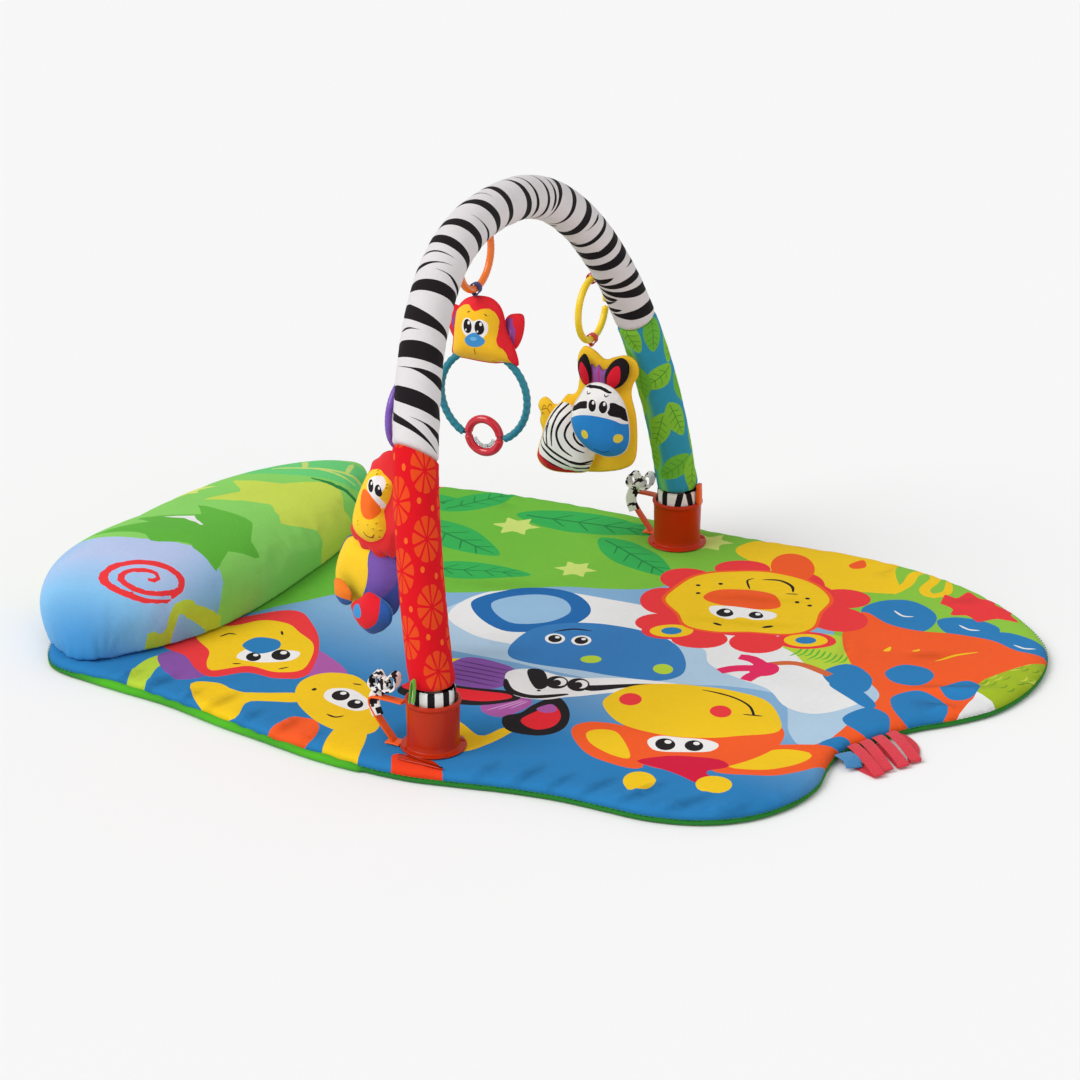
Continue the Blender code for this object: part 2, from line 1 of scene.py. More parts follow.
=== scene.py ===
"""Activity play gym, the looks: printed and padded cloth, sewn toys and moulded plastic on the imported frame.

Metres, in the frame's own axes: X runs from the head end (-X) to the foot end (+X) of the mat, Y across it,
+Z up. Artwork is drawn flat, cut into triangles along its own colour edges, and then laid over its form.
"""

import math
import random

import bmesh
import bpy
import numpy as np
from mathutils import Matrix, Vector, kdtree, noise
from mathutils.geometry import delaunay_2d_cdt


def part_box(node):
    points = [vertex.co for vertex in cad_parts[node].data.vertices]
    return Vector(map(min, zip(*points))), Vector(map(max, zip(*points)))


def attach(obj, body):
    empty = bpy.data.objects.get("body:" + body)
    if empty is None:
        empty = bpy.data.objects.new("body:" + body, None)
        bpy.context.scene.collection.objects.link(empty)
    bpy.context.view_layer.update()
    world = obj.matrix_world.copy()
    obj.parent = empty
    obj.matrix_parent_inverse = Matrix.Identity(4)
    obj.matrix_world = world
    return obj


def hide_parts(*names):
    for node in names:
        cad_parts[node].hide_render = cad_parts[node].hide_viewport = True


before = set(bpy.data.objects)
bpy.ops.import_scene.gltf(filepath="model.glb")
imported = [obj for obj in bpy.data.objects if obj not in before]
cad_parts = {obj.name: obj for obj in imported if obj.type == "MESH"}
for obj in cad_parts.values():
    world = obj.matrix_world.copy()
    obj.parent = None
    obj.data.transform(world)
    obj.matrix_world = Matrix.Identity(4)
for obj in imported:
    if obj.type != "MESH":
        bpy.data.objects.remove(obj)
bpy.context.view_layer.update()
SCENE = bpy.context.scene
SCENE.view_settings.view_transform = "Standard"


# ---------------------------------------------------------------- colours, as sRGB bytes

def linear(red, green, blue):
    """An sRGB colour as the linear values that Blender's shaders read."""
    out = []
    for value in (red, green, blue):
        value /= 255
        out.append(value / 12.92 if value <= 0.04045 else ((value + 0.055) / 1.055) ** 2.4)
    return tuple(out)


BLUE = linear(42, 127, 188)
DEEP_BLUE = linear(32, 106, 174)
PALE_BLUE = linear(150, 190, 222)
SKY = linear(178, 206, 228)
CLOUD = linear(236, 236, 236)
WHITE = linear(243, 242, 240)
BLACK = linear(32, 27, 30)
YELLOW = linear(247, 203, 28)
DEEP_YELLOW = linear(238, 178, 20)
ORANGE = linear(248, 94, 38)
RED = linear(236, 40, 52)
CORAL = linear(240, 58, 62)
MAGENTA = linear(214, 22, 62)
PINK = linear(232, 42, 98)
PURPLE = linear(138, 84, 168)
VIOLET = linear(176, 92, 168)
GRASS = linear(98, 184, 58)
LIME = linear(186, 214, 62)
PALE_LIME = linear(206, 226, 120)
LEAF = linear(52, 176, 84)
DARK_LEAF = linear(36, 136, 66)
GOLD_GRASS = linear(164, 190, 40)


def blend_colour(first, second, share):
    """Colours between two: share is an array from 0 to 1."""
    share = np.clip(share, 0, 1)[..., None]
    return np.array(first) * (1 - share) + np.array(second) * share


# ---------------------------------------------------------------- flat outlines

def resampled(points, step, closed=True):
    """The same polyline with points an even step apart."""
    points = np.asarray(points, float)
    if closed:
        points = np.vstack([points, points[:1]])
    lengths = np.concatenate([[0], np.cumsum(np.linalg.norm(np.diff(points, axis=0), axis=1))])
    count = max(int(round(lengths[-1] / step)), 8 if closed else 2)
    places = np.linspace(0, lengths[-1], count + 1)
    out = np.stack([np.interp(places, lengths, points[:, k]) for k in range(points.shape[1])], 1)
    return out[:-1] if closed else out


def rounded(points, closed=True, step=0.003, samples=8):
    """A smooth Catmull-Rom line through a few given points, sampled evenly."""
    points = [np.asarray(p, float) for p in points]
    count = len(points)
    out = []
    for i in range(count if closed else count - 1):
        if closed:
            a, b, c, d = (points[(i + k) % count] for k in (-1, 0, 1, 2))
        else:
            a, b, c, d = (points[min(max(i + k, 0), count - 1)] for k in (-1, 0, 1, 2))
        for s in range(samples):
            t = s / samples
            out.append(0.5 * (2 * b + (c - a) * t + (2 * a - 5 * b + 4 * c - d) * t * t
                              + (3 * b - a - 3 * c + d) * t ** 3))
    if not closed:
        out.append(points[-1])
    return resampled(out, step, closed)


def oval_points(centre, radii, turn=0.0, step=0.003):
    """An ellipse, turned by an angle in degrees."""
    turn = math.radians(turn)
    around = 2 * math.pi * math.sqrt((radii[0] ** 2 + radii[1] ** 2) / 2)
    count = max(int(around / step), 14)
    out = []
    for i in range(count):
        a = 2 * math.pi * i / count
        x, y = radii[0] * math.cos(a), radii[1] * math.sin(a)
        out.append((centre[0] + x * math.cos(turn) - y * math.sin(turn),
                    centre[1] + x * math.sin(turn) + y * math.cos(turn)))
    return np.array(out)


def brush_points(points, width, ends=(0.2, 0.2), step=0.003):
    """A brush stroke along a smooth line: its width may change along it, and each end tapers to a share."""
    line = rounded(points, closed=False, step=step) if len(points) > 2 else resampled(points, step, False)
    along = np.linspace(0, 1, len(line))
    tangent = np.gradient(line, axis=0)
    tangent /= np.maximum(np.linalg.norm(tangent, axis=1)[:, None], 1e-9)
    normal = np.stack([-tangent[:, 1], tangent[:, 0]], 1)
    width = np.atleast_1d(width).astype(float)
    widths = np.interp(along, np.linspace(0, 1, len(width)), width)
    taper = np.minimum(ends[0] + (1 - ends[0]) * np.clip(along / 0.25, 0, 1) ** 0.6,
                       ends[1] + (1 - ends[1]) * np.clip((1 - along) / 0.25, 0, 1) ** 0.6)
    half = (widths * taper / 2)[:, None]
    return np.vstack([line + normal * half, (line - normal * half)[::-1]])


def inside(points, loop):
    """Which points lie within a closed loop, by the even-odd rule."""
    x, y = points[:, 0][:, None], points[:, 1][:, None]
    ax, ay = loop[:, 0], loop[:, 1]
    bx, by = np.roll(ax, -1), np.roll(ay, -1)
    out = np.zeros(len(points), bool)
    with np.errstate(divide="ignore", invalid="ignore"):
        slope = (bx - ax) / (by - ay)
        for start in range(0, len(points), 4000):
            part = slice(start, start + 4000)
            crosses = ((ay > y[part]) != (by > y[part])) & (x[part] < slope * (y[part] - ay) + ax)
            out[part] = crosses.sum(1) % 2 == 1
    return out


def edge_distance(points, loop, closed=True):
    """Each point's distance to a line, and how far along the line its nearest point is."""
    a = loop
    b = np.roll(loop, -1, axis=0)
    if not closed:
        a, b = loop[:-1], loop[1:]
    run = b - a
    length = np.linalg.norm(run, axis=1)
    starts = np.concatenate([[0], np.cumsum(length)[:-1]])
    best, place = np.full(len(points), np.inf), np.zeros(len(points))
    for start in range(0, len(points), 2000):
        part = slice(start, start + 2000)
        rel = points[part][:, None, :] - a[None]
        t = np.clip((rel * run).sum(2) / np.maximum(length ** 2, 1e-12), 0, 1)
        gap = np.linalg.norm(rel - t[..., None] * run, axis=2)
        nearest = gap.argmin(1)
        rows = np.arange(len(nearest))
        best[part] = gap[rows, nearest]
        place[part] = starts[nearest] + t[rows, nearest] * length[nearest]
    return best, place


# ---------------------------------------------------------------- printed cloth

class Print:
    """Flat artwork on cut cloth: an outline, a ground colour, and shapes over each other, the last on top."""

    def __init__(self, outline, ground, spacing):
        self.outline = np.asarray(outline, float)
        self.ground = ground
        self.spacing = spacing
        self.shapes = []

    def add(self, loop, colour):
        self.shapes.append((np.asarray(loop, float), colour))

    def step(self, size):
        return min(self.spacing, max(size / 9, self.spacing / 5))

    def blob(self, points, colour):
        size = np.ptp(np.asarray(points, float), axis=0).min()
        self.add(rounded(points, step=self.step(size)), colour)

    def poly(self, points, colour):
        self.add(resampled(points, self.spacing), colour)

    def oval(self, centre, radii, colour, turn=0.0):
        radii = (radii, radii) if np.isscalar(radii) else radii
        self.add(oval_points(centre, radii, turn, self.step(min(radii) * 3)), colour)

    def brush(self, points, width, colour, ends=(0.2, 0.2)):
        self.add(brush_points(points, width, ends, self.step(float(np.max(width)) * 6)), colour)

    def eye(self, centre, size, turn=0.0, white=True):
        """A white oval, a black pupil and its highlight."""
        turned = math.radians(turn)

        def at(x, y):
            return (centre[0] + size * (x * math.cos(turned) - y * math.sin(turned)),
                    centre[1] + size * (x * math.sin(turned) + y * math.cos(turned)))

        if white:
            self.oval(centre, (size * 0.92, size * 1.12), WHITE, turn)
        self.oval(centre, (size * 0.62, size * 0.82), BLACK, turn)
        self.oval(at(0.18, 0.34), (size * 0.22, size * 0.26), WHITE, turn)

    def triangles(self, seeds=()):
        """Cuts the cloth along every colour edge. Returns its points, triangles and corner colours."""
        coords, edges = [], []
        for loop in [self.outline] + [shape for shape, _ in self.shapes]:
            first, count = len(coords), len(loop)
            coords += [tuple(p) for p in loop]
            edges += [(first + i, first + (i + 1) % count) for i in range(count)]
        low, high = self.outline.min(0), self.outline.max(0)
        rows = []
        for j in range(int((high[1] - low[1]) / (self.spacing * 0.87)) + 1):
            x = np.arange(low[0] + (j % 2) * self.spacing / 2, high[0], self.spacing)
            rows.append(np.stack([x, np.full(len(x), low[1] + j * self.spacing * 0.87)], 1))
        grid = np.vstack([s for s in seeds] + rows)
        grid = grid[inside(grid, self.outline)]
        tree = kdtree.KDTree(len(coords) + len(grid))
        for i, p in enumerate(coords):
            tree.insert((*p, 0), i)
        tree.balance()
        far = [p for p in grid if tree.find((*p, 0))[2] > self.spacing * 0.55]
        if len(seeds):
            far = self.thinned(far)
        coords += [tuple(p) for p in far]
        found = delaunay_2d_cdt([Vector(c) for c in coords], edges, [], 0, 1e-7, False)
        points = np.array([tuple(v) for v in found[0]])
        tris = np.array([f for f in found[2] if len(f) == 3])
        corner = points[tris]
        area = np.cross(corner[:, 1] - corner[:, 0], corner[:, 2] - corner[:, 0])
        tris[area < 0] = tris[area < 0][:, ::-1]
        corner = points[tris]
        keep = inside(corner.mean(1), self.outline) & (np.abs(area) > 1e-12)
        tris, corner = tris[keep], corner[keep]
        centre = corner.mean(1)
        colours = np.zeros((len(tris), 3, 3))
        colours[:] = self.paint(self.ground, corner)
        for loop, fill in self.shapes:
            close = np.where(((centre >= loop.min(0)) & (centre <= loop.max(0))).all(1))[0]
            if len(close):
                hit = close[inside(centre[close], loop)]
                colours[hit] = self.paint(fill, corner[hit])
        used, tris = np.unique(tris, return_inverse=True)
        return points[used], tris.reshape(-1, 3), colours

    def thinned(self, points):
        """Drops grid points that crowd an earlier one."""
        tree = kdtree.KDTree(len(points))
        for i, p in enumerate(points):
            tree.insert((*p, 0), i)
        tree.balance()
        out = []
        for i, p in enumerate(points):
            if not any(j < i for _, j, _ in tree.find_range((*p, 0), self.spacing * 0.5)):
                out.append(p)
        return out

    @staticmethod
    def paint(fill, corner):
        return fill(corner[..., 0], corner[..., 1]) if callable(fill) else np.array(fill)


def rim_edges(tris):
    """The directed edges that only one triangle has."""
    seen = {}
    for t in tris:
        for a, b in ((t[0], t[1]), (t[1], t[2]), (t[2], t[0])):
            seen[(a, b)] = True
    return [(a, b) for a, b in seen if (b, a) not in seen]


def mesh_object(name, points, faces, material, colours=None):
    """A new object from points and faces, with the print's corner colours if it has them."""
    mesh = bpy.data.meshes.new(name)
    mesh.from_pydata([tuple(p) for p in points], [], [tuple(int(i) for i in f) for f in faces])
    if colours is not None:
        layer = mesh.color_attributes.new("Print", "FLOAT_COLOR", "CORNER")
        values = np.ones((len(colours), 4), np.float32)
        values[:, :3] = colours
        layer.data.foreach_set("color", values.ravel())
        mesh.color_attributes.active_color = layer
    mesh.materials.append(material)
    mesh.shade_smooth()
    obj = bpy.data.objects.new(name, mesh)
    SCENE.collection.objects.link(obj)
    return obj


def object_from(bm, name, material):
    """A new object from a bmesh, which is freed."""
    mesh = bpy.data.meshes.new(name)
    bm.to_mesh(mesh)
    bm.free()
    mesh.materials.append(material)
    mesh.shade_smooth()
    obj = bpy.data.objects.new(name, mesh)
    SCENE.collection.objects.link(obj)
    return obj


def add_piece(obj, body, replaces=()):
    """Hangs a finished piece on its body, and hides the nodes it stands for, stuffing included where it has any.
    """
    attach(obj, body)
    if replaces:
        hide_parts(*replaces)
    return obj


def tidy_mesh(obj, weld=1e-6):
    """Welds shared points and turns every face outwards. Crisp colours stay on their corners."""
    bm = bmesh.new()
    bm.from_mesh(obj.data)
    bmesh.ops.remove_doubles(bm, verts=bm.verts, dist=weld)
    bmesh.ops.recalc_face_normals(bm, faces=bm.faces)
    bm.to_mesh(obj.data)
    bm.free()
    obj.data.shade_smooth()
    return obj


def subdivided(obj):
    modifier = obj.modifiers.new("smooth", "SUBSURF")
    modifier.levels = modifier.render_levels = 1
    return obj


def wadding_pressure(obj, cap, frames, pressure=3.0, stiffness=8.0):
    """Fills a sewn cover like wadding does, by cloth simulation; each point stays within cap of its place."""
    mesh = obj.data
    rest = np.zeros(len(mesh.vertices) * 3, np.float32)
    mesh.vertices.foreach_get("co", rest)
    rest = rest.reshape(-1, 3)
    cloth = obj.modifiers.new("Cloth", "CLOTH")
    settings = cloth.settings
    settings.quality = 4
    settings.mass = 0.12
    settings.tension_stiffness = settings.compression_stiffness = stiffness
    settings.shear_stiffness = stiffness / 2
    settings.bending_stiffness = 0.12
    settings.use_pressure = True
    settings.uniform_pressure_force = pressure
    settings.effector_weights.gravity = 0.0
    cloth.collision_settings.use_collision = False
    cloth.point_cache.frame_start = 1
    cloth.point_cache.frame_end = frames
    for number in range(1, frames + 1):
        SCENE.frame_set(number)
    evaluated = obj.evaluated_get(bpy.context.evaluated_depsgraph_get())
    moved = np.zeros(len(rest) * 3, np.float32)
    evaluated.data.vertices.foreach_get("co", moved)
    obj.modifiers.remove(cloth)
    SCENE.frame_set(1)
    shift = moved.reshape(-1, 3) - rest
    length = np.linalg.norm(shift, axis=1)[:, None]
    shift *= np.minimum(1, cap / np.maximum(length, 1e-9))
    placed = rest + shift
    mesh.vertices.foreach_set("co", placed.astype(np.float32).ravel())
    mesh.update()
    return obj


# ---------------------------------------------------------------- materials

class Nodes:
    """A small helper to wire a material's nodes."""

    def __init__(self, name):
        self.material = bpy.data.materials.new(name)
        self.material.use_nodes = True
        self.tree = self.material.node_tree
        self.shader = self.tree.nodes["Principled BSDF"]
        self.place = self.add("ShaderNodeTexCoord").outputs["Object"]

    def add(self, kind, **values):
        node = self.tree.nodes.new(kind)
        for key, value in values.items():
            if key in node.inputs:
                node.inputs[key].default_value = value
            else:
                setattr(node, key, value)
        return node

    def link(self, start, end):
        self.tree.links.new(start, end)

    def maths(self, operation, first, second):
        node = self.add("ShaderNodeMath", operation=operation)
        for socket, value in zip(node.inputs, (first, second)):
            if isinstance(value, (int, float)):
                socket.default_value = value
            else:
                self.link(value, socket)
        return node.outputs[0]

    def noise(self, scale, detail=3.0, roughness=0.55):
        node = self.add("ShaderNodeTexNoise", Scale=scale, Detail=detail, Roughness=roughness)
        self.link(self.place, node.inputs["Vector"])
        return node.outputs["Fac"]

    def wave(self, direction, period):
        """Threads that far apart, running across one axis."""
        node = self.add("ShaderNodeTexWave", bands_direction=direction, Scale=math.pi / 10 / period,
                        Distortion=1.2, Detail=1.0)
        node.inputs["Detail Scale"].default_value = 1.5
        self.link(self.place, node.inputs["Vector"])
        return node.outputs["Fac"]

    def ramp(self, value, low, high, start=0.0, end=1.0):
        node = self.add("ShaderNodeMapRange")
        self.link(value, node.inputs["Value"])
        for key, number in (("From Min", start), ("From Max", end), ("To Min", low), ("To Max", high)):
            node.inputs[key].default_value = number
        return node.outputs["Result"]

    def bump(self, height, distance, strength=1.0):
        node = self.add("ShaderNodeBump", Strength=strength, Distance=distance)
        self.link(height, node.inputs["Height"])
        self.link(node.outputs["Normal"], self.shader.inputs["Normal"])

    def shade(self, colour, low, high, by):
        """Colours the shader: a colour or a colour socket, made darker and lighter by a value."""
        node = self.add("ShaderNodeMix", data_type="RGBA", blend_type="MULTIPLY")
        node.inputs["Factor"].default_value = 1.0
        if isinstance(colour, tuple):
            node.inputs[6].default_value = (*colour, 1.0)
        else:
            self.link(colour, node.inputs[6])
        grey = self.add("ShaderNodeCombineColor")
        level = self.ramp(by, low, high)
        for socket in grey.inputs[:3]:
            self.link(level, socket)
        self.link(grey.outputs[0], node.inputs[7])
        self.link(node.outputs[2], self.shader.inputs["Base Color"])


def cloth_material(name, colour=None, thread=0.0011, depth=0.00016, roughness=0.85, sheen=0.03, mottle=0.07):
    """Woven cloth. Without a colour it shows its own print."""
    make = Nodes(name)
    if colour is None:
        source = make.add("ShaderNodeVertexColor", layer_name="Print").outputs["Color"]
    else:
        source = colour
    threads = make.maths("ADD", make.wave("X", thread), make.wave("Y", thread))
    threads = make.maths("ADD", threads, make.wave("Z", thread))
    slubs = make.noise(220.0, 4.0)
    height = make.maths("ADD", make.maths("MULTIPLY", threads, 0.45), make.maths("MULTIPLY", slubs, 0.9))
    make.bump(height, depth, 0.8)
    soft = make.maths("ADD", make.maths("MULTIPLY", make.noise(14.0, 3.0), 0.6),
                      make.maths("MULTIPLY", slubs, 0.4))
    make.shade(source, 1 - mottle * 2.2, 1 + mottle, soft)
    make.shader.inputs["Roughness"].default_value = roughness
    make.shader.inputs["Specular IOR Level"].default_value = 0.10
    make.shader.inputs["Sheen Weight"].default_value = sheen
    make.shader.inputs["Sheen Roughness"].default_value = 0.45
    return make.material


def plush_material(name, colour=None, depth=0.0005):
    """Brushed velour: a fine nap instead of threads."""
    make = Nodes(name)
    source = colour or make.add("ShaderNodeVertexColor", layer_name="Print").outputs["Color"]
    nap = make.maths("ADD", make.maths("MULTIPLY", make.noise(900.0, 2.0), 0.6),
                     make.maths("MULTIPLY", make.noise(260.0, 3.0), 0.6))
    make.bump(nap, depth, 0.7)
    make.shade(source, 0.86, 1.08, make.maths("ADD", make.maths("MULTIPLY", make.noise(35.0), 0.7),
                                                make.maths("MULTIPLY", nap, 0.3)))
    make.shader.inputs["Roughness"].default_value = 0.95
    make.shader.inputs["Specular IOR Level"].default_value = 0.15
    make.shader.inputs["Sheen Weight"].default_value = 0.10
    make.shader.inputs["Sheen Roughness"].default_value = 0.5
    return make.material


def plastic_material(name, colour, roughness=0.28, coat=0.3, grain=0.00006, wear=0.06, shine=0.4):
    """Moulded plastic with a faint grain and uneven gloss."""
    make = Nodes(name)
    make.bump(make.noise(420.0, 2.0), grain, 0.6)
    make.shade(colour, 1 - wear, 1 + wear / 2, make.noise(28.0, 3.0))
    rough = make.ramp(make.noise(60.0, 4.0), roughness - 0.06, roughness + 0.08)
    make.link(rough, make.shader.inputs["Roughness"])
    make.shader.inputs["Specular IOR Level"].default_value = shine
    make.shader.inputs["Coat Weight"].default_value = coat
    make.shader.inputs["Coat Roughness"].default_value = 0.12
    make.shader.inputs["Subsurface Weight"].default_value = 0.05
    make.shader.inputs["Subsurface Radius"].default_value = (0.004, 0.002, 0.001)
    return make.material


def webbing_material(name, colour):
    """Ribbon or webbing: close ribs across it."""
    make = Nodes(name)
    ribs = make.maths("ADD", make.wave("X", 0.0006), make.wave("Z", 0.0008))
    make.bump(make.maths("ADD", ribs, make.noise(500.0)), 0.0002, 0.8)
    make.shade(colour, 0.82, 1.08, make.noise(150.0, 4.0))
    make.shader.inputs["Roughness"].default_value = 0.7
    make.shader.inputs["Sheen Weight"].default_value = 0.2
    return make.material


PRINTED = cloth_material("printed_poly_cotton")
PILLOW_CLOTH = cloth_material("pillow_poly_cotton", roughness=0.78)
SLEEVE_CLOTH = cloth_material("printed_sleeve_cloth", thread=0.0009, depth=0.00014)
GREEN_CLOTH = cloth_material("green_backing_cloth", linear(104, 196, 40), roughness=0.75)
HEM_CLOTH = cloth_material("green_hem_cloth", roughness=0.75)
TOY_PLUSH = plush_material("printed_toy_velour")
TOY_CLOTH = cloth_material("printed_toy_cloth", thread=0.0008, depth=0.00012)
CHECKED = cloth_material("checked_cotton", thread=0.0008)
CUP_PLASTIC = plastic_material("orange_moulded_plastic", linear(188, 43, 3), 0.30, 0.06, shine=0.2)
STRAP_PLASTIC = plastic_material("orange_strap_plastic", linear(244, 96, 22), 0.34, 0.06, shine=0.25)
TUBE_PLASTIC = plastic_material("white_tube_plastic", linear(214, 214, 212), 0.4, 0.1)
TEAL_PLASTIC = plastic_material("teal_plastic", linear(16, 128, 146), 0.3, 0.3)
RATTLE_PLASTIC = plastic_material("rattle_red_plastic", linear(206, 24, 46), 0.2, 0.6)
LINK_ORANGE = plastic_material("orange_link_plastic", linear(240, 118, 30), 0.25, 0.4)
LINK_YELLOW = plastic_material("yellow_link_plastic", linear(250, 212, 24), 0.28, 0.35)
LINK_PURPLE = plastic_material("purple_link_plastic", linear(122, 80, 182), 0.28, 0.35)
NAVY_WEBBING = webbing_material("navy_webbing", linear(38, 44, 118))
RED_RIBBON = webbing_material("red_ribbon", linear(232, 40, 62))
BLUE_RIBBON = webbing_material("blue_ribbon", linear(58, 140, 200))
GREEN_RIBBON = webbing_material("green_ribbon", linear(112, 206, 50))
RED_LOOP = webbing_material("red_webbing", linear(226, 52, 34))
BEAD_GREEN = plastic_material("green_bead_plastic", linear(96, 190, 70), 0.25, 0.3)
TAG_CLOTH = webbing_material("grey_tag_ribbon", linear(146, 150, 158))
FOAM = plush_material("arch_foam", linear(206, 204, 196))


def steel_material():
    """Zinc-plated steel for the screws and plates."""
    make = Nodes("zinc_plated_steel")
    make.bump(make.noise(300.0, 3.0), 0.00004, 0.5)
    make.shade(linear(190, 190, 186), 0.85, 1.05, make.noise(60.0, 3.0))
    make.shader.inputs["Metallic"].default_value = 1.0
    make.shader.inputs["Roughness"].default_value = 0.35
    return make.material


def clear_material():
    """The rattle's clear window."""
    make = Nodes("clear_track_plastic")
    make.bump(make.noise(200.0, 2.0), 0.00002, 0.3)
    make.shade(linear(236, 240, 242), 0.95, 1.0, make.noise(30.0, 2.0))
    make.shader.inputs["Roughness"].default_value = 0.12
    make.shader.inputs["Transmission Weight"].default_value = 0.85
    make.shader.inputs["IOR"].default_value = 1.3
    return make.material


STEEL = steel_material()
CLEAR = clear_material()


# ---------------------------------------------------------------- the mat's shape

COVER_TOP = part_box("mat_cover")[1].z
SOCKET_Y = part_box("arch_plug_far")[1].y - (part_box("arch_plug_far")[1].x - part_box("arch_plug_far")[0].x) / 2
FLANGE_R = (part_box("socket_cup_near")[1].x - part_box("socket_cup_near")[0].x) / 2
CUP_RIM_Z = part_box("socket_cup_near")[1].z
PILLOW_LOW, PILLOW_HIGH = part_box("head_pillow")

# Mat outline, counter-clockwise from the near corner of the head end
OUTLINE = [
    (-0.400, -0.262), (-0.341, -0.267), (-0.286, -0.274), (-0.231, -0.285), (-0.182, -0.296),
    (-0.134, -0.306), (-0.090, -0.312), (-0.046, -0.316), (0.000, -0.315), (0.045, -0.306),
    (0.090, -0.296), (0.137, -0.290), (0.180, -0.290), (0.216, -0.290), (0.250, -0.283),
    (0.281, -0.268), (0.308, -0.242), (0.326, -0.206), (0.332, -0.168), (0.326, -0.130),
    (0.326, -0.098), (0.342, -0.062), (0.366, -0.023), (0.397, 0.011), (0.422, 0.050),
    (0.434, 0.104), (0.430, 0.162), (0.410, 0.208), (0.371, 0.250), (0.320, 0.284),
    (0.269, 0.305), (0.220, 0.316), (0.167, 0.320), (0.115, 0.317), (0.060, 0.314),
    (0.000, 0.314), (-0.070, 0.316), (-0.150, 0.316), (-0.230, 0.310), (-0.300, 0.296),
    (-0.352, 0.273), (-0.396, 0.238), (-0.436, 0.184), (-0.464, 0.112), (-0.476, 0.030),
    (-0.474, -0.060), (-0.462, -0.145), (-0.446, -0.205), (-0.426, -0.244),
]
EDGE = rounded(OUTLINE, step=0.004)
EDGE_Z = 0.0058             # where the printed cover tucks in under itself
EDGE_ROLL = 0.017           # how wide the cover's rounded edge is
COVER_INSET = 0.0014
TUCK_IN, TUCK_DROP = 0.0030, 0.0024     # how far the cover's edge turns in and down before it is closed
PUFF = 0.0016               # how much the wadding crowns between edge and middle
FLAT_REACH, FLAT_BLEND = 0.003, 0.016   # how far the cover lies flat round a flange, and then rises over
CREASE_FULL = 0.003         # the height of a crease that gets its whole painted shade and painted highlight
CROWN_PAINTED_HIGHLIGHT, FOLD_PAINTED_SHADE = 0.10, 0.36      # how much lighter a crease's crown is painted, as painted highlight, and how much darker its fold, as painted shade
HEM_HALF, HEM_HIGH = 0.0034, 0.0026     # half the hem's width and height
HEM_INSET = 0.0040
HEM_SIDES = 12
FLAP_START, FLAP_END = -0.400, -0.044   # where the hem's brighter flap runs along the near edge
# the hem's green painted darker, as painted shade, where it lies thin under the cover's rolled edge, and its own
# brighter green on the flap
HEM_SHADE_GREEN, HEM_BRIGHT = linear(44, 128, 48), linear(84, 186, 40)

# Long soft creases in the padded cover: two ends, height and half-width
CREASES = [
    ((0.186, -0.286), (0.214, -0.232), 0.0030, 0.0044), ((0.226, -0.284), (0.262, -0.232), 0.0026, 0.0046),
    ((0.150, -0.288), (0.172, -0.240), 0.0026, 0.0042), ((0.118, -0.290), (0.136, -0.252), 0.0024, 0.0038),
    ((0.088, -0.294), (0.104, -0.250), 0.0026, 0.0042), ((0.052, -0.302), (0.064, -0.262), 0.0018, 0.0044),
    ((0.268, -0.270), (0.296, -0.226), 0.0018, 0.0050), ((0.300, 0.105), (0.352, 0.132), 0.0020, 0.0060),
    ((0.420, 0.076), (0.330, 0.030), 0.0026, 0.0070), ((0.400, 0.020), (0.345, 0.006), 0.0026, 0.0055),
    ((0.245, 0.128), (0.262, 0.052), 0.0014, 0.0070), ((0.062, 0.150), (0.188, 0.190), 0.0012, 0.0080),
    ((0.080, 0.096), (0.205, 0.132), 0.0012, 0.0080), ((-0.150, -0.302), (-0.140, -0.262), 0.0022, 0.0048),
    ((-0.232, -0.284), (-0.216, -0.240), 0.0026, 0.0050),
    ((-0.310, -0.272), (-0.286, -0.232), 0.0028, 0.0052),
    ((-0.190, -0.292), (-0.178, -0.262), 0.0020, 0.0044),
    ((-0.262, -0.278), (-0.252, -0.250), 0.0020, 0.0042),
    ((-0.340, -0.266), (-0.322, -0.238), 0.0022, 0.0046),
    ((-0.118, -0.306), (-0.108, -0.272), 0.0016, 0.0044),
    ((-0.110, -0.080), (-0.010, -0.020), 0.0010, 0.0140),
    ((-0.180, 0.080), (-0.060, 0.120), 0.0012, 0.0160), ((0.330, 0.270), (0.300, 0.226), 0.0014, 0.0060),
    ((0.230, 0.308), (0.214, 0.262), 0.0014, 0.0060), ((-0.060, 0.312), (-0.052, 0.262), 0.0014, 0.0060),
    ((-0.210, 0.308), (-0.196, 0.250), 0.0014, 0.0060),
]


def smooth_noise(points, size, seed):
    """Even bumps over flat points, about size across."""
    return np.array([noise.noise(Vector((p[0] / size, p[1] / size, seed * 7.3))) for p in points])


def near_fittings(points):
    """1 beside a cup's flange, where the cover lies flat, and 0 away from it."""
    share = np.zeros(len(points))
    for side in (-1, 1):
        gap = np.hypot(points[:, 0], points[:, 1] - side * SOCKET_Y) - FLANGE_R
        share = np.maximum(share, np.clip(1 - (gap - FLAT_REACH) / FLAT_BLEND, 0, 1))
    return share * share * (3 - 2 * share)


def crease_line(start, end, width):
    """A crease's slightly bent line."""
    return rounded([start, ((start[0] + end[0]) / 2 + width, (start[1] + end[1]) / 2), end], False)


def crease_place(points, start, end, width):
    """Each point's distance from a crease, which side it lies on, and how strong the crease is there."""
    line = crease_line(start, end, width)
    off, along = edge_distance(points, line, closed=False)
    length = np.linalg.norm(np.subtract(end, start))
    fade = np.clip(np.minimum(along, length - along) / (length * 0.4), 0.05, 1)
    run = np.subtract(end, start) / length
    side = np.sign((points[:, 0] - start[0]) * run[1] - (points[:, 1] - start[1]) * run[0])
    return off, side, fade


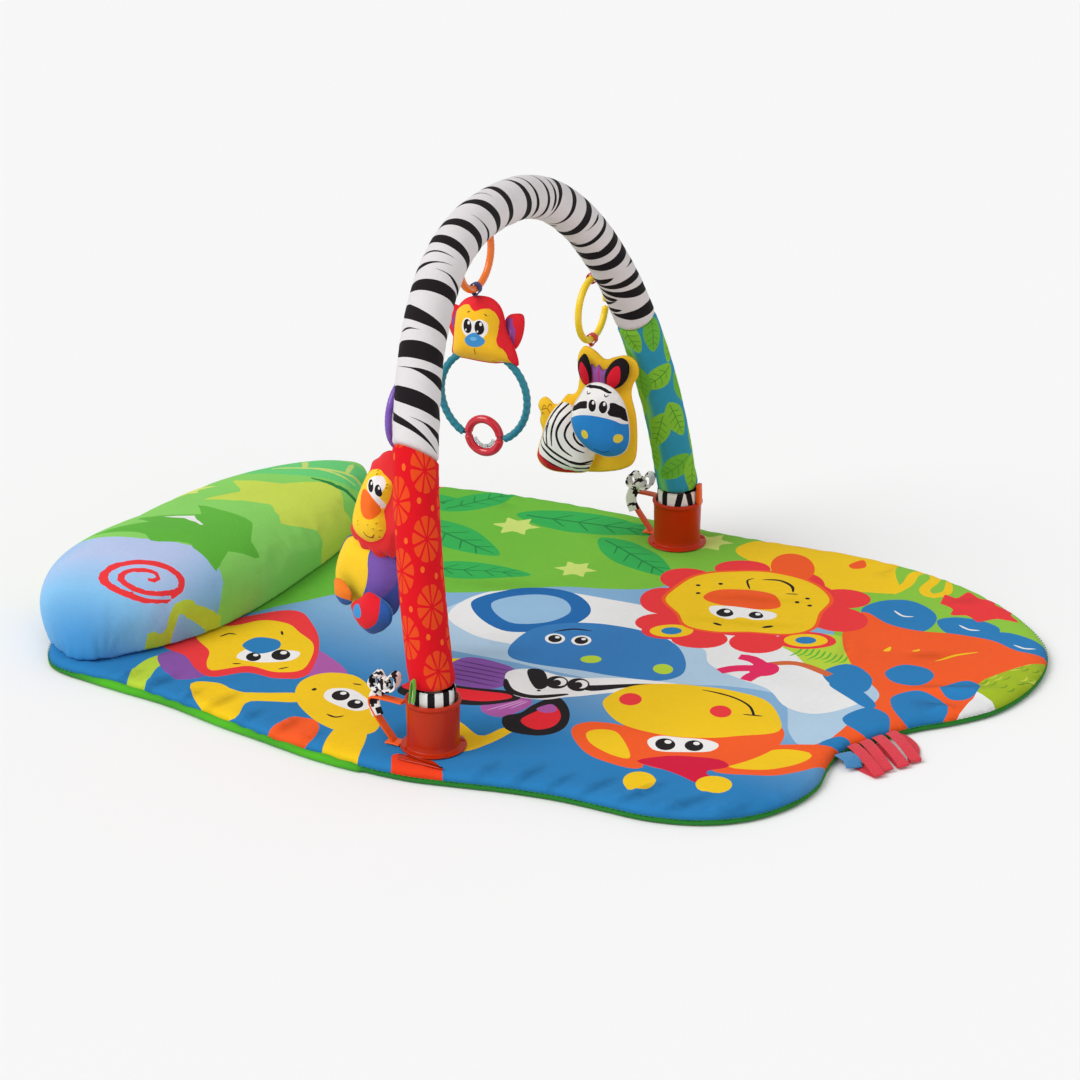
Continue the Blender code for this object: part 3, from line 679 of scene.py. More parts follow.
def crease_painted_shade(points):
    """Painted shade and highlight: how much darker the cloth is painted in the folds beside the creases, and how
    much lighter on their crowns.
    """
    tone = np.ones(len(points))
    for start, end, height, width in CREASES:
        off, side, fade = crease_place(points, start, end, width)
        fold = np.exp(-((side * off - 1.1 * width) / (0.8 * width)) ** 2)
        crown = np.exp(-((side * off + 0.5 * width) / (0.8 * width)) ** 2)
        tone += (height / CREASE_FULL) * fade * (CROWN_PAINTED_HIGHLIGHT * crown - FOLD_PAINTED_SHADE * fold)
    return tone


def mat_height(points):
    """The height of the padded cover over each point of the mat."""
    gap, place = edge_distance(points, EDGE)
    share = np.clip((gap - COVER_INSET) / EDGE_ROLL, 0, 1)
    z = EDGE_Z + (COVER_TOP - EDGE_Z) * np.sqrt(np.maximum(1 - (1 - share) ** 2, 0)) ** 0.9
    calm = 1 - near_fittings(points)
    z += PUFF * np.clip(gap / 0.045, 0, 1) * calm
    z += 0.0011 * smooth_noise(points, 0.075, 1) * np.clip(gap / 0.03, 0, 1) * calm
    z += 0.0005 * smooth_noise(points, 0.026, 2) * np.clip(gap / 0.02, 0, 1) * calm
    pucker = np.sin(place / 0.0042 + 3.1 * np.sin(place / 0.037)) * (0.6 + 0.4 * np.sin(place / 0.011 + 1.3))
    z += 0.0007 * pucker * np.exp(-((gap - 0.011) / 0.008) ** 2) * calm
    for start, end, height, width in CREASES:
        off, _, fade = crease_place(points, start, end, width)
        ridge = np.exp(-(off / width) ** 2) - 0.55 * np.exp(-((off - 1.9 * width) / width) ** 2)
        z += height * ridge * fade * calm * np.clip(gap / 0.008, 0, 1)
    return np.where(gap > 0.009, np.maximum(z, COVER_TOP - 0.0022), z)


# ---------------------------------------------------------------- the mat's artwork

def ground_colour(x, y):
    """Blue along the near edge, paler towards the middle."""
    share = np.clip((y + 0.20 + 0.10 * np.clip(x, -0.3, 0.3)) / 0.14, 0, 1)
    return blend_colour(BLUE, PALE_BLUE, share ** 1.3 * 0.75)


def grass_colour(x, _):
    """Green, yellower towards the foot end."""
    return blend_colour(GRASS, linear(150, 204, 66), (x + 0.35) / 0.8)


def print_grounds(art):
    """Sky, clouds and the far green ground."""
    art.blob([(-0.13, -0.07), (-0.02, -0.075), (0.10, -0.075), (0.12, -0.06), (0.23, -0.03), (0.275, -0.10),
              (0.30, -0.115), (0.345, -0.06), (0.33, 0.02), (0.25, 0.09), (0.10, 0.10), (-0.10, 0.06)], SKY)
    art.blob([(-0.12, -0.01), (-0.03, -0.04), (0.05, 0.030), (0.108, 0.030), (0.134, 0.030), (0.152, 0.002),
              (0.192, -0.016), (0.222, -0.024), (0.250, -0.050), (0.278, -0.053), (0.300, -0.030),
              (0.306, -0.002), (0.262, 0.030), (0.240, 0.062), (0.14, 0.085), (0.02, 0.10), (-0.10, 0.075)],
             CLOUD)
    art.blob([(-0.50, -0.16), (-0.35, -0.145), (-0.27, -0.05), (-0.23, 0.00), (-0.13, 0.05), (-0.06, 0.10),
              (0.02, 0.135), (0.05, 0.17), (0.09, 0.20), (0.20, 0.16), (0.245, 0.10), (0.30, 0.10),
              (0.42, 0.03), (0.50, 0.10), (0.46, 0.30), (0.2, 0.36), (-0.2, 0.36), (-0.45, 0.30)],
             grass_colour)
    # a path of yellow sand by the far edge, with an orange drop on it
    art.blob([(0.100, 0.322), (0.135, 0.335), (0.213, 0.335), (0.228, 0.287), (0.248, 0.240), (0.210, 0.222),
              (0.178, 0.205), (0.12, 0.232), (0.066, 0.262), (0.070, 0.296)], YELLOW)
    art.blob([(0.180, 0.284), (0.188, 0.276), (0.197, 0.286), (0.188, 0.302)], ORANGE)
    art.oval((0.120, 0.308), (0.008, 0.005), DEEP_YELLOW, 20)
    # the little snake
    art.brush([(0.243, 0.236), (0.250, 0.262), (0.247, 0.292), (0.257, 0.306), (0.270, 0.290),
               (0.270, 0.258), (0.282, 0.246), (0.292, 0.262), (0.283, 0.292)], 0.011, YELLOW, (0.9, 0.4))
    # lime grass behind the cloud, with blades
    art.blob([(0.192, 0.076), (0.215, 0.058), (0.250, 0.030), (0.275, 0.045), (0.262, 0.085), (0.245, 0.115),
              (0.215, 0.110)], LIME)
    for i in range(9):
        x = 0.212 + 0.0058 * i
        art.brush([(x, 0.052 + 0.003 * (i % 3)), (x + 0.004, 0.064), (x + 0.003, 0.078)], 0.0022, GRASS)
    # jungle leaves on the far green
    for (x, y), (length, width), turn in (
            ((-0.30, 0.235), (0.075, 0.030), 18), ((-0.21, 0.17), (0.070, 0.027), -20),
            ((-0.10, 0.265), (0.080, 0.028), 8), ((-0.23, 0.27), (0.050, 0.020), 60),
            ((-0.02, 0.205), (0.062, 0.024), -30), ((-0.31, 0.12), (0.065, 0.027), 35),
            ((-0.15, 0.10), (0.060, 0.022), 15)):
        print_leaf(art, (x, y), length, width, turn, LEAF, DARK_LEAF)
    for centre, radius in (((-0.36, 0.18), 0.030), ((-0.165, 0.225), 0.026), ((0.03, 0.275), 0.026),
                           ((-0.06, 0.15), 0.022)):
        print_star_leaf(art, centre, radius, PALE_LIME)
    art.blob([(-0.395, 0.300), (-0.355, 0.292), (-0.300, 0.266), (-0.285, 0.300), (-0.33, 0.33)], CORAL)
    # near-edge stem that runs down from the pillow
    art.brush([(-0.268, -0.168), (-0.305, -0.205), (-0.318, -0.235), (-0.305, -0.290)], 0.020, LIME, (1, 1))


def print_leaf(art, centre, length, width, turn, colour, vein):
    """A pointed leaf with a middle vein and side veins. length and width are half its size."""
    turned = math.radians(turn)
    cos, sin = math.cos(turned), math.sin(turned)

    def at(u, v):
        return centre[0] + u * cos - v * sin, centre[1] + u * sin + v * cos

    upper = [(-0.55, 0.8), (0, 1), (0.6, 0.62)]
    outline = [(-1, 0)] + upper + [(1, 0)] + [(u, -v) for u, v in upper[::-1]]
    art.blob([at(length * u, width * v) for u, v in outline], colour)
    art.brush([at(-length * 0.86, 0), at(length * 0.9, 0)], width * 0.10, vein, (1, 0.3))
    for k in (-0.5, -0.15, 0.2, 0.5):
        reach = width * (0.78 - 0.5 * abs(k + 0.1))
        for side in (-1, 1):
            art.brush([at(length * k, 0), at(length * (k + 0.22), side * reach)], width * 0.075, vein,
                      (1, 0.3))


def print_star_leaf(art, centre, radius, colour, points=6):
    """A leaf with pointed fingers."""
    loop = []
    for i in range(points * 2):
        a = math.pi * i / points + 0.3
        r = radius if i % 2 == 0 else radius * 0.52
        loop.append((centre[0] + r * math.cos(a), centre[1] + r * math.sin(a)))
    art.poly(loop, colour)


def print_lion(art):
    """A sitting lion's head, its chin to the far side, in a red mane of round petals."""
    tilt = 26
    for centre, radii in (
            ((0.049, 0.177), (0.026, 0.027)), ((0.089, 0.225), (0.028, 0.022)),
            ((0.160, 0.216), (0.020, 0.030)), ((0.206, 0.200), (0.028, 0.024)),
            ((0.222, 0.152), (0.028, 0.029)), ((0.050, 0.118), (0.022, 0.032)),
            ((0.068, 0.068), (0.022, 0.022)), ((0.120, 0.050), (0.027, 0.021)),
            ((0.172, 0.066), (0.026, 0.024)), ((0.130, 0.150), (0.090, 0.080))):
        art.oval(centre, radii, CORAL, tilt)
    art.oval((0.133, 0.250), (0.022, 0.037), ORANGE, tilt)
    for centre in ((0.212, 0.092), (0.088, 0.056)):
        art.oval(centre, (0.029, 0.020), CORAL, tilt)
        art.oval(centre, (0.021, 0.015), YELLOW, tilt)
        art.oval(centre, (0.010, 0.0085), BLUE, tilt)
    for width, colour in ((0.0035, ORANGE), (0.0, YELLOW)):
        face = [(0.051, 0.123), (0.050, 0.158), (0.056, 0.188), (0.083, 0.213), (0.125, 0.229),
                (0.168, 0.220), (0.196, 0.192), (0.199, 0.158), (0.206, 0.122), (0.191, 0.099),
                (0.155, 0.086), (0.125, 0.072), (0.096, 0.074), (0.076, 0.098)]
        middle = np.mean(face, axis=0)
        art.blob([tuple(middle + (np.array(p) - middle) * (1 + width / 0.07)) for p in face], colour)
    art.blob([(0.083, 0.142), (0.089, 0.166), (0.113, 0.178), (0.140, 0.179), (0.159, 0.157), (0.146, 0.142),
              (0.112, 0.133)], ORANGE)
    art.blob([(0.098, 0.127), (0.110, 0.107), (0.128, 0.104), (0.136, 0.113), (0.150, 0.113), (0.164, 0.124),
              (0.160, 0.140), (0.130, 0.137)], WHITE)
    art.eye((0.117, 0.117), 0.0135, tilt, white=False)
    art.eye((0.146, 0.126), 0.0115, tilt, white=False)
    art.brush([(0.116, 0.181), (0.106, 0.198), (0.110, 0.207)], 0.0022, BLACK)
    art.brush([(0.118, 0.207), (0.134, 0.213), (0.150, 0.206), (0.157, 0.193)], 0.0036, BLACK)
    art.brush([(0.152, 0.186), (0.164, 0.190)], 0.0026, BLACK)
    for spot in ((0.074, 0.150), (0.066, 0.168), (0.085, 0.180), (0.176, 0.184), (0.184, 0.170),
                 (0.170, 0.172)):
        art.oval(spot, 0.0024, BLACK)
    for ends in (((0.116, 0.091), (0.126, 0.089)), ((0.162, 0.103), (0.171, 0.110))):
        art.brush(ends, 0.0042, BLACK)


def print_giraffe(art):
    """A giraffe's head from above: orange, with a broad yellow muzzle to the far side."""
    for outer, inner in (
            ([(0.146, -0.160), (0.112, -0.156), (0.096, -0.172), (0.106, -0.196), (0.140, -0.224),
              (0.186, -0.222)],
             [(0.138, -0.170), (0.118, -0.170), (0.112, -0.182), (0.126, -0.200), (0.152, -0.212),
              (0.168, -0.208)]),
            ([(0.242, -0.200), (0.290, -0.188), (0.320, -0.152), (0.334, -0.104), (0.300, -0.112),
              (0.262, -0.142)],
             [(0.254, -0.188), (0.285, -0.178), (0.306, -0.150), (0.308, -0.128), (0.284, -0.132),
              (0.262, -0.156)])):
        art.blob(outer, ORANGE)
        art.blob(inner, YELLOW)
    art.blob([(0.125, -0.125), (0.140, -0.160), (0.158, -0.190), (0.182, -0.214), (0.214, -0.216),
              (0.246, -0.196), (0.268, -0.160), (0.276, -0.120), (0.255, -0.085), (0.18, -0.07)], ORANGE)
    art.blob([(0.096, -0.109), (0.108, -0.074), (0.147, -0.050), (0.194, -0.042), (0.228, -0.046),
              (0.252, -0.070), (0.265, -0.100), (0.245, -0.120), (0.210, -0.144), (0.170, -0.156),
              (0.135, -0.152), (0.108, -0.132)], YELLOW)
    art.oval((0.118, -0.101), (0.0105, 0.0135), CORAL, 26)
    art.oval((0.202, -0.087), (0.0100, 0.0125), CORAL, 26)
    art.brush([(0.168, -0.052), (0.198, -0.054), (0.220, -0.064), (0.232, -0.080)], 0.0026, BLACK, (0.3, 1))
    art.brush([(0.222, -0.083), (0.240, -0.078)], 0.0022, BLACK)
    art.blob([(0.168, -0.172), (0.174, -0.158), (0.192, -0.152), (0.214, -0.146), (0.228, -0.150),
              (0.226, -0.166), (0.206, -0.178), (0.182, -0.186)], WHITE)
    art.eye((0.185, -0.171), 0.0145, 26, white=False)
    art.eye((0.209, -0.162), 0.0135, 26, white=False)
    art.blob([(0.176, -0.212), (0.194, -0.193), (0.214, -0.184), (0.240, -0.178), (0.254, -0.188),
              (0.240, -0.206), (0.262, -0.222), (0.246, -0.230), (0.222, -0.222), (0.206, -0.218)], MAGENTA)
    art.oval((0.195, -0.247), (0.0145, 0.0185), YELLOW, 26)
    art.oval((0.256, -0.225), (0.0160, 0.0165), YELLOW, 26)


def print_elephant(art):
    """A blue elephant's round forehead and ears, with two yellow dots."""
    for outline, colour in (
            ([(-0.115, 0.030), (-0.085, 0.085), (-0.035, 0.095), (0.000, 0.060), (-0.010, 0.010),
              (-0.060, -0.015)],
             DEEP_BLUE),
            ([(-0.096, 0.036), (-0.074, 0.072), (-0.040, 0.078), (-0.018, 0.052), (-0.028, 0.020),
              (-0.060, 0.004)],
             PALE_BLUE),
            ([(-0.020, -0.068), (-0.036, -0.030), (-0.026, 0.012), (0.016, 0.040), (0.061, 0.044),
              (0.085, 0.040), (0.112, 0.022), (0.132, -0.008), (0.137, -0.034), (0.122, -0.055),
              (0.086, -0.062), (0.048, -0.064)], linear(56, 126, 190))):
        art.blob(outline, colour)
    art.oval((0.047, -0.037), (0.010, 0.0085), LIME, 26)
    art.oval((0.117, -0.027), (0.0095, 0.0115), LIME, 26)
    art.brush([(-0.012, 0.004), (0.002, 0.018), (0.020, 0.022)], 0.0028, BLACK)
    art.eye((-0.004, -0.010), 0.0105, 20)
    art.eye((0.020, -0.002), 0.0105, 20)


def print_zebra(art):
    """A zebra's striped head lying to the right, with red-lined ears and a purple mane."""
    for points, colour in (
            ([(-0.060, -0.086), (-0.012, -0.086), (0.004, -0.112), (-0.012, -0.140), (-0.062, -0.136)],
             PURPLE),
            ([(0.000, -0.156), (0.024, -0.136), (0.042, -0.152), (0.030, -0.186), (0.006, -0.182)], VIOLET)):
        art.blob(points, colour)
    for i in range(5):
        y = -0.096 - 0.009 * i
        art.brush([(-0.062, y), (-0.034, y + 0.001), (-0.006, y + 0.002)], 0.0024, linear(96, 56, 120))
    for i in range(3):
        art.brush([(0.010 + 0.009 * i, -0.180 + 0.006 * i), (0.030 + 0.003 * i, -0.146)], 0.0022,
                  linear(210, 150, 205))
    art.blob([(-0.078, -0.150), (-0.030, -0.143), (0.012, -0.134), (0.026, -0.148), (-0.012, -0.178),
              (-0.078, -0.184)], BLACK)
    art.blob([(-0.078, -0.155), (-0.030, -0.148), (0.010, -0.140), (0.017, -0.149), (-0.014, -0.168),
              (-0.078, -0.172)], RED)
    art.blob([(0.030, -0.186), (0.041, -0.172), (0.044, -0.150), (0.056, -0.126), (0.080, -0.150),
              (0.090, -0.184), (0.076, -0.206), (0.046, -0.208)], BLACK)
    art.blob([(0.048, -0.186), (0.052, -0.164), (0.060, -0.144), (0.076, -0.160), (0.080, -0.182),
              (0.068, -0.196)], RED)
    art.blob([(0.050, -0.158), (0.058, -0.143), (0.068, -0.152), (0.062, -0.162)], VIOLET)
    art.blob([(-0.010, -0.096), (0.008, -0.080), (0.046, -0.082), (0.090, -0.064), (0.140, -0.052),
              (0.155, -0.060), (0.104, -0.090), (0.066, -0.120), (0.046, -0.138), (0.018, -0.140),
              (-0.002, -0.118)], WHITE)
    art.blob([(0.004, -0.083), (0.018, -0.079), (0.036, -0.106), (0.032, -0.119), (0.016, -0.104)], BLACK)
    art.brush([(-0.005, -0.112), (0.010, -0.132), (0.036, -0.136), (0.062, -0.116)], 0.0075, BLACK,
              (0.3, 0.3))
    art.blob([(0.062, -0.096), (0.082, -0.084), (0.122, -0.062), (0.134, -0.060), (0.104, -0.080),
              (0.078, -0.100)], BLACK)
    for x, y in ((0.041, -0.097), (0.061, -0.093)):
        art.oval((x, y), (0.0105, 0.0145), BLACK, 26)
        art.oval((x + 0.002, y + 0.002), (0.0062, 0.0092), WHITE, 26)
        art.oval((x, y - 0.001), (0.0042, 0.0070), BLACK, 26)
    art.oval((0.034, -0.121), 0.0020, BLACK)


def print_dinosaur(art):
    """An orange dinosaur on the foot lobe, with blue back plates and spots."""
    art.blob([(0.346, 0.108), (0.380, 0.080), (0.399, 0.051), (0.427, 0.033), (0.470, 0.080), (0.452, 0.160),
              (0.415, 0.158), (0.380, 0.140)], GOLD_GRASS)
    generator = random.Random(11)
    for i in range(34):
        x = 0.388 + generator.random() * 0.045
        y = 0.070 + generator.random() * 0.078
        art.brush([(x, y), (x + 0.0035, y + 0.005), (x + 0.004, y + 0.012)], 0.0016,
                  linear(122, 160, 36) if i % 2 else linear(200, 212, 84))
    art.blob([(0.345, -0.040), (0.372, -0.030), (0.396, 0.030), (0.396, 0.056), (0.425, 0.038),
              (0.400, 0.000)], CLOUD)
    for points in (
            [(0.232, 0.186), (0.240, 0.210), (0.262, 0.226), (0.288, 0.218), (0.306, 0.196), (0.305, 0.160),
             (0.272, 0.155), (0.246, 0.164)],
            [(0.308, 0.190), (0.318, 0.207), (0.346, 0.212), (0.368, 0.202), (0.366, 0.176), (0.330, 0.166)],
            [(0.350, 0.172), (0.372, 0.196), (0.400, 0.194), (0.428, 0.182), (0.440, 0.166), (0.410, 0.150),
             (0.376, 0.152)]):
        art.blob(points, BLUE)
    for points in (((0.262, 0.196), (0.274, 0.188), (0.284, 0.191)),
                   ((0.330, 0.192), (0.342, 0.187), (0.352, 0.190)),
                   ((0.392, 0.172), (0.404, 0.169), (0.414, 0.173))):
        art.brush(points, 0.0026, WHITE)
    art.blob([(0.236, 0.180), (0.234, 0.135), (0.252, 0.090), (0.280, 0.050), (0.318, 0.012), (0.316, -0.030),
              (0.312, -0.090), (0.300, -0.122), (0.326, -0.135), (0.345, -0.080), (0.368, -0.034),
              (0.392, 0.000), (0.397, 0.050), (0.392, 0.078), (0.410, 0.120), (0.432, 0.164), (0.400, 0.160),
              (0.370, 0.172), (0.336, 0.170), (0.300, 0.160), (0.268, 0.164)], ORANGE)
    for points in (
            [(0.254, 0.030), (0.262, 0.056), (0.278, 0.060), (0.300, 0.040), (0.304, 0.010), (0.282, 0.004)],
            [(0.305, 0.060), (0.314, 0.082), (0.338, 0.084), (0.350, 0.068), (0.342, 0.046), (0.320, 0.043)],
            [(0.330, 0.010), (0.346, 0.034), (0.372, 0.028), (0.386, 0.006), (0.372, -0.026),
             (0.350, -0.022)],
            [(0.362, 0.050), (0.378, 0.074), (0.394, 0.072), (0.396, 0.050), (0.382, 0.034)],
            [(0.306, -0.050), (0.318, -0.018), (0.340, -0.024), (0.350, -0.052), (0.332, -0.068)],
            [(0.306, -0.108), (0.318, -0.084), (0.338, -0.092), (0.334, -0.130), (0.316, -0.134)],
            [(0.268, 0.012), (0.290, 0.018), (0.322, -0.008), (0.318, -0.020), (0.292, -0.006)]):
        art.blob(points, BLUE)
    art.brush([(0.338, 0.104), (0.352, 0.124), (0.368, 0.140)], 0.0030, YELLOW)
    for x, y in ((0.286, 0.104), (0.312, 0.112)):
        art.blob([(x, y), (x + 0.003, y + 0.012), (x + 0.006, y + 0.002)], YELLOW)
    # a red flower beside it
    art.poly([(0.296, 0.232), (0.292, 0.256), (0.306, 0.252), (0.310, 0.276), (0.326, 0.262), (0.338, 0.276),
              (0.344, 0.254), (0.362, 0.256), (0.366, 0.238), (0.380, 0.226), (0.356, 0.224), (0.344, 0.206),
              (0.330, 0.218), (0.314, 0.210), (0.312, 0.226)], CORAL)


def print_hand(art):
    """A pink hand that holds an orange stick, in front of the cloud."""
    art.brush([(0.198, 0.024), (0.226, 0.040), (0.262, 0.030)], 0.009, linear(214, 104, 58), (0.7, 1))
    for finger in (((0.166, -0.008), (0.176, 0.004), (0.196, 0.014)),
                   ((0.170, 0.030), (0.184, 0.030), (0.200, 0.020)),
                   ((0.196, -0.016), (0.198, -0.002), (0.206, 0.010))):
        art.brush(finger, 0.0135, PINK, (0.85, 0.9))
    art.oval((0.202, 0.014), (0.014, 0.016), PINK)


def print_bird(art):
    """A red bird with a yellow star-shaped face, near the head end."""
    art.blob([(-0.322, -0.212), (-0.300, -0.188), (-0.262, -0.206), (-0.260, -0.236), (-0.286, -0.246)],
             PURPLE)
    art.blob([(-0.196, -0.136), (-0.170, -0.146), (-0.142, -0.168), (-0.156, -0.190), (-0.186, -0.178)],
             VIOLET)
    art.blob([(-0.330, -0.190), (-0.330, -0.152), (-0.306, -0.112), (-0.262, -0.064), (-0.226, -0.086),
              (-0.194, -0.130), (-0.174, -0.188), (-0.196, -0.206), (-0.228, -0.206), (-0.252, -0.230),
              (-0.274, -0.222), (-0.298, -0.202)], CORAL)
    art.blob([(-0.312, -0.160), (-0.316, -0.134), (-0.294, -0.122), (-0.276, -0.098), (-0.250, -0.094),
              (-0.228, -0.108), (-0.206, -0.122), (-0.192, -0.146), (-0.184, -0.180), (-0.204, -0.194),
              (-0.232, -0.192), (-0.246, -0.204), (-0.260, -0.218), (-0.272, -0.206), (-0.284, -0.182)],
             YELLOW)
    art.blob([(-0.254, -0.182), (-0.252, -0.158), (-0.228, -0.150), (-0.206, -0.146), (-0.204, -0.166),
              (-0.230, -0.182)], WHITE)
    art.blob([(-0.262, -0.158), (-0.260, -0.136), (-0.238, -0.132), (-0.228, -0.148), (-0.240, -0.166)], BLUE)
    art.eye((-0.240, -0.174), 0.0115, 30, white=False)
    art.eye((-0.219, -0.159), 0.0145, 30, white=False)
    art.brush([(-0.292, -0.150), (-0.288, -0.140), (-0.280, -0.138)], 0.0024, BLACK)
    art.brush([(-0.240, -0.120), (-0.246, -0.112)], 0.0024, BLACK)
    art.brush([(-0.250, -0.196), (-0.243, -0.192)], 0.0022, BLACK)
    art.brush([(-0.205, -0.188), (-0.198, -0.180)], 0.0022, BLACK)


def print_long_neck(art):
    """A small yellow animal with a long neck, lying along the near edge."""
    art.blob([(-0.262, -0.250), (-0.240, -0.238), (-0.216, -0.246), (-0.196, -0.242), (-0.162, -0.226),
              (-0.152, -0.240), (-0.176, -0.252), (-0.194, -0.262), (-0.192, -0.290), (-0.232, -0.282)],
             YELLOW)
    art.blob([(-0.158, -0.236), (-0.172, -0.202), (-0.162, -0.176), (-0.134, -0.168), (-0.106, -0.186),
              (-0.082, -0.214), (-0.064, -0.244), (-0.060, -0.270), (-0.088, -0.278), (-0.122, -0.266)],
             YELLOW)
    art.blob([(-0.094, -0.266), (-0.066, -0.266), (-0.048, -0.330), (-0.080, -0.330)], YELLOW)
    art.blob([(-0.136, -0.222), (-0.140, -0.204), (-0.124, -0.196), (-0.104, -0.204), (-0.088, -0.218),
              (-0.094, -0.234), (-0.116, -0.232)], WHITE)
    art.eye((-0.124, -0.212), 0.0135, 30, white=False)
    art.eye((-0.103, -0.222), 0.0120, 30, white=False)
    art.brush([(-0.127, -0.184), (-0.118, -0.183)], 0.0024, BLACK)
    art.oval((-0.152, -0.212), (0.0022, 0.0030), BLACK)
    art.brush([(-0.116, -0.252), (-0.106, -0.254), (-0.100, -0.248)], 0.0026, BLACK)
    art.blob([(-0.148, -0.292), (-0.140, -0.270), (-0.118, -0.268), (-0.104, -0.290), (-0.112, -0.315),
              (-0.146, -0.310)], ORANGE)


def print_by_near_cup(art):
    """The yellow shapes that the near cup stands on, and the orange patch's underprint."""
    art.blob([(-0.066, -0.180), (-0.030, -0.196), (0.004, -0.214), (0.030, -0.228), (0.040, -0.206),
              (0.052, -0.196), (0.044, -0.240), (0.020, -0.268), (-0.010, -0.262), (-0.040, -0.230)], YELLOW)
    art.blob([(-0.070, -0.094), (-0.040, -0.090), (-0.046, -0.128), (-0.070, -0.140), (-0.088, -0.118)],
             YELLOW)
    art.blob([(-0.022, -0.292), (0.012, -0.290), (0.032, -0.306), (0.034, -0.330), (-0.002, -0.335),
              (-0.016, -0.312)], linear(240, 66, 30))


def mat_print():
    """All the mat's artwork, the lowest layer first."""
    art = Print(resampled(inset(EDGE, COVER_INSET), 0.004), ground_colour, 0.0062)
    for draw in (print_grounds, print_by_near_cup, print_dinosaur, print_elephant, print_zebra,
                 print_hand, print_giraffe, print_lion, print_bird, print_long_neck):
        draw(art)
    return art


def inset(loop, distance):
    """A closed counter-clockwise loop moved inwards, or outwards where distance is below 0."""
    run = np.roll(loop, -1, axis=0) - np.roll(loop, 1, axis=0)
    run /= np.linalg.norm(run, axis=1)[:, None]
    return loop + np.stack([-run[:, 1], run[:, 0]], 1) * distance


# ---------------------------------------------------------------- the mat's pieces

def swept(name, sections, material, closed=True, colours=None):
    """A tube through a list of section loops, one loop of 3-D points at each station of its line."""
    sections = np.asarray(sections, float)
    stations, sides = sections.shape[:2]
    faces = []
    for i in range(stations if closed else stations - 1):
        for k in range(sides):
            a, b = i * sides + k, i * sides + (k + 1) % sides
            c, d = ((i + 1) % stations) * sides + (k + 1) % sides, ((i + 1) % stations) * sides + k
            faces.append((a, b, c, d))
    if not closed:
        faces.append(tuple(range(sides))[::-1])
        faces.append(tuple((stations - 1) * sides + k for k in range(sides)))
    obj = mesh_object(name, sections.reshape(-1, 3), faces, material, colours)
    return tidy_mesh(obj)


def build_mat_cover():
    """The padded printed cover, closed below."""
    art = mat_print()
    rings = []
    for distance in (0.0020, 0.0045, 0.0080, 0.0125):
        ring = inset(art.outline, distance)
        rings.append(ring[inside(ring, art.outline)])
    for start, end, _, width in CREASES:
        line = crease_line(start, end, width)
        run = np.gradient(line, axis=0)
        across = np.stack([-run[:, 1], run[:, 0]], 1) / np.linalg.norm(run, axis=1)[:, None]
        rings += [(line + across * width * k)[::2] for k in (-2, -1, -0.5, 0, 0.5, 1, 2)]
    flat, tris, colours = art.triangles(seeds=rings)
    top = np.column_stack([flat, mat_height(flat)])
    rim = rim_edges(tris)
    follow = dict(rim)
    start = rim[0][0]
    loop, here = [start], follow[start]
    while here != start:
        loop.append(here)
        here = follow[here]
    tucked = inset(flat[loop], TUCK_IN)
    low = np.column_stack([tucked, np.full(len(loop), EDGE_Z - TUCK_DROP)])
    points = np.vstack([top, low])
    # painted shade in the creases' folds and painted highlight on their crowns, multiplied into the print's
    # colours
    colours = colours * crease_painted_shade(flat)[tris][..., None]
    faces = [tuple(t) for t in tris]
    base = len(top)
    count = len(loop)
    walls = [(loop[i], base + i, base + (i + 1) % count, loop[(i + 1) % count]) for i in range(count)]
    bottom = tuple(base + i for i in range(count))[::-1]
    edge_paint = {}
    for t, c in zip(tris, colours):
        for k in range(3):
            edge_paint[(t[k], t[(k + 1) % 3])] = c[k]
    corner = [c for tri in colours for c in tri]
    for i in range(count):
        corner += [edge_paint[(loop[i], loop[(i + 1) % count])]] * 4
    corner += [np.array(BLUE)] * count
    obj = mesh_object("printed_mat_cover", points, faces + walls + [bottom], PRINTED, np.array(corner))
    return add_piece(obj, "mat", ["mat_cover", "mat_wadding"])


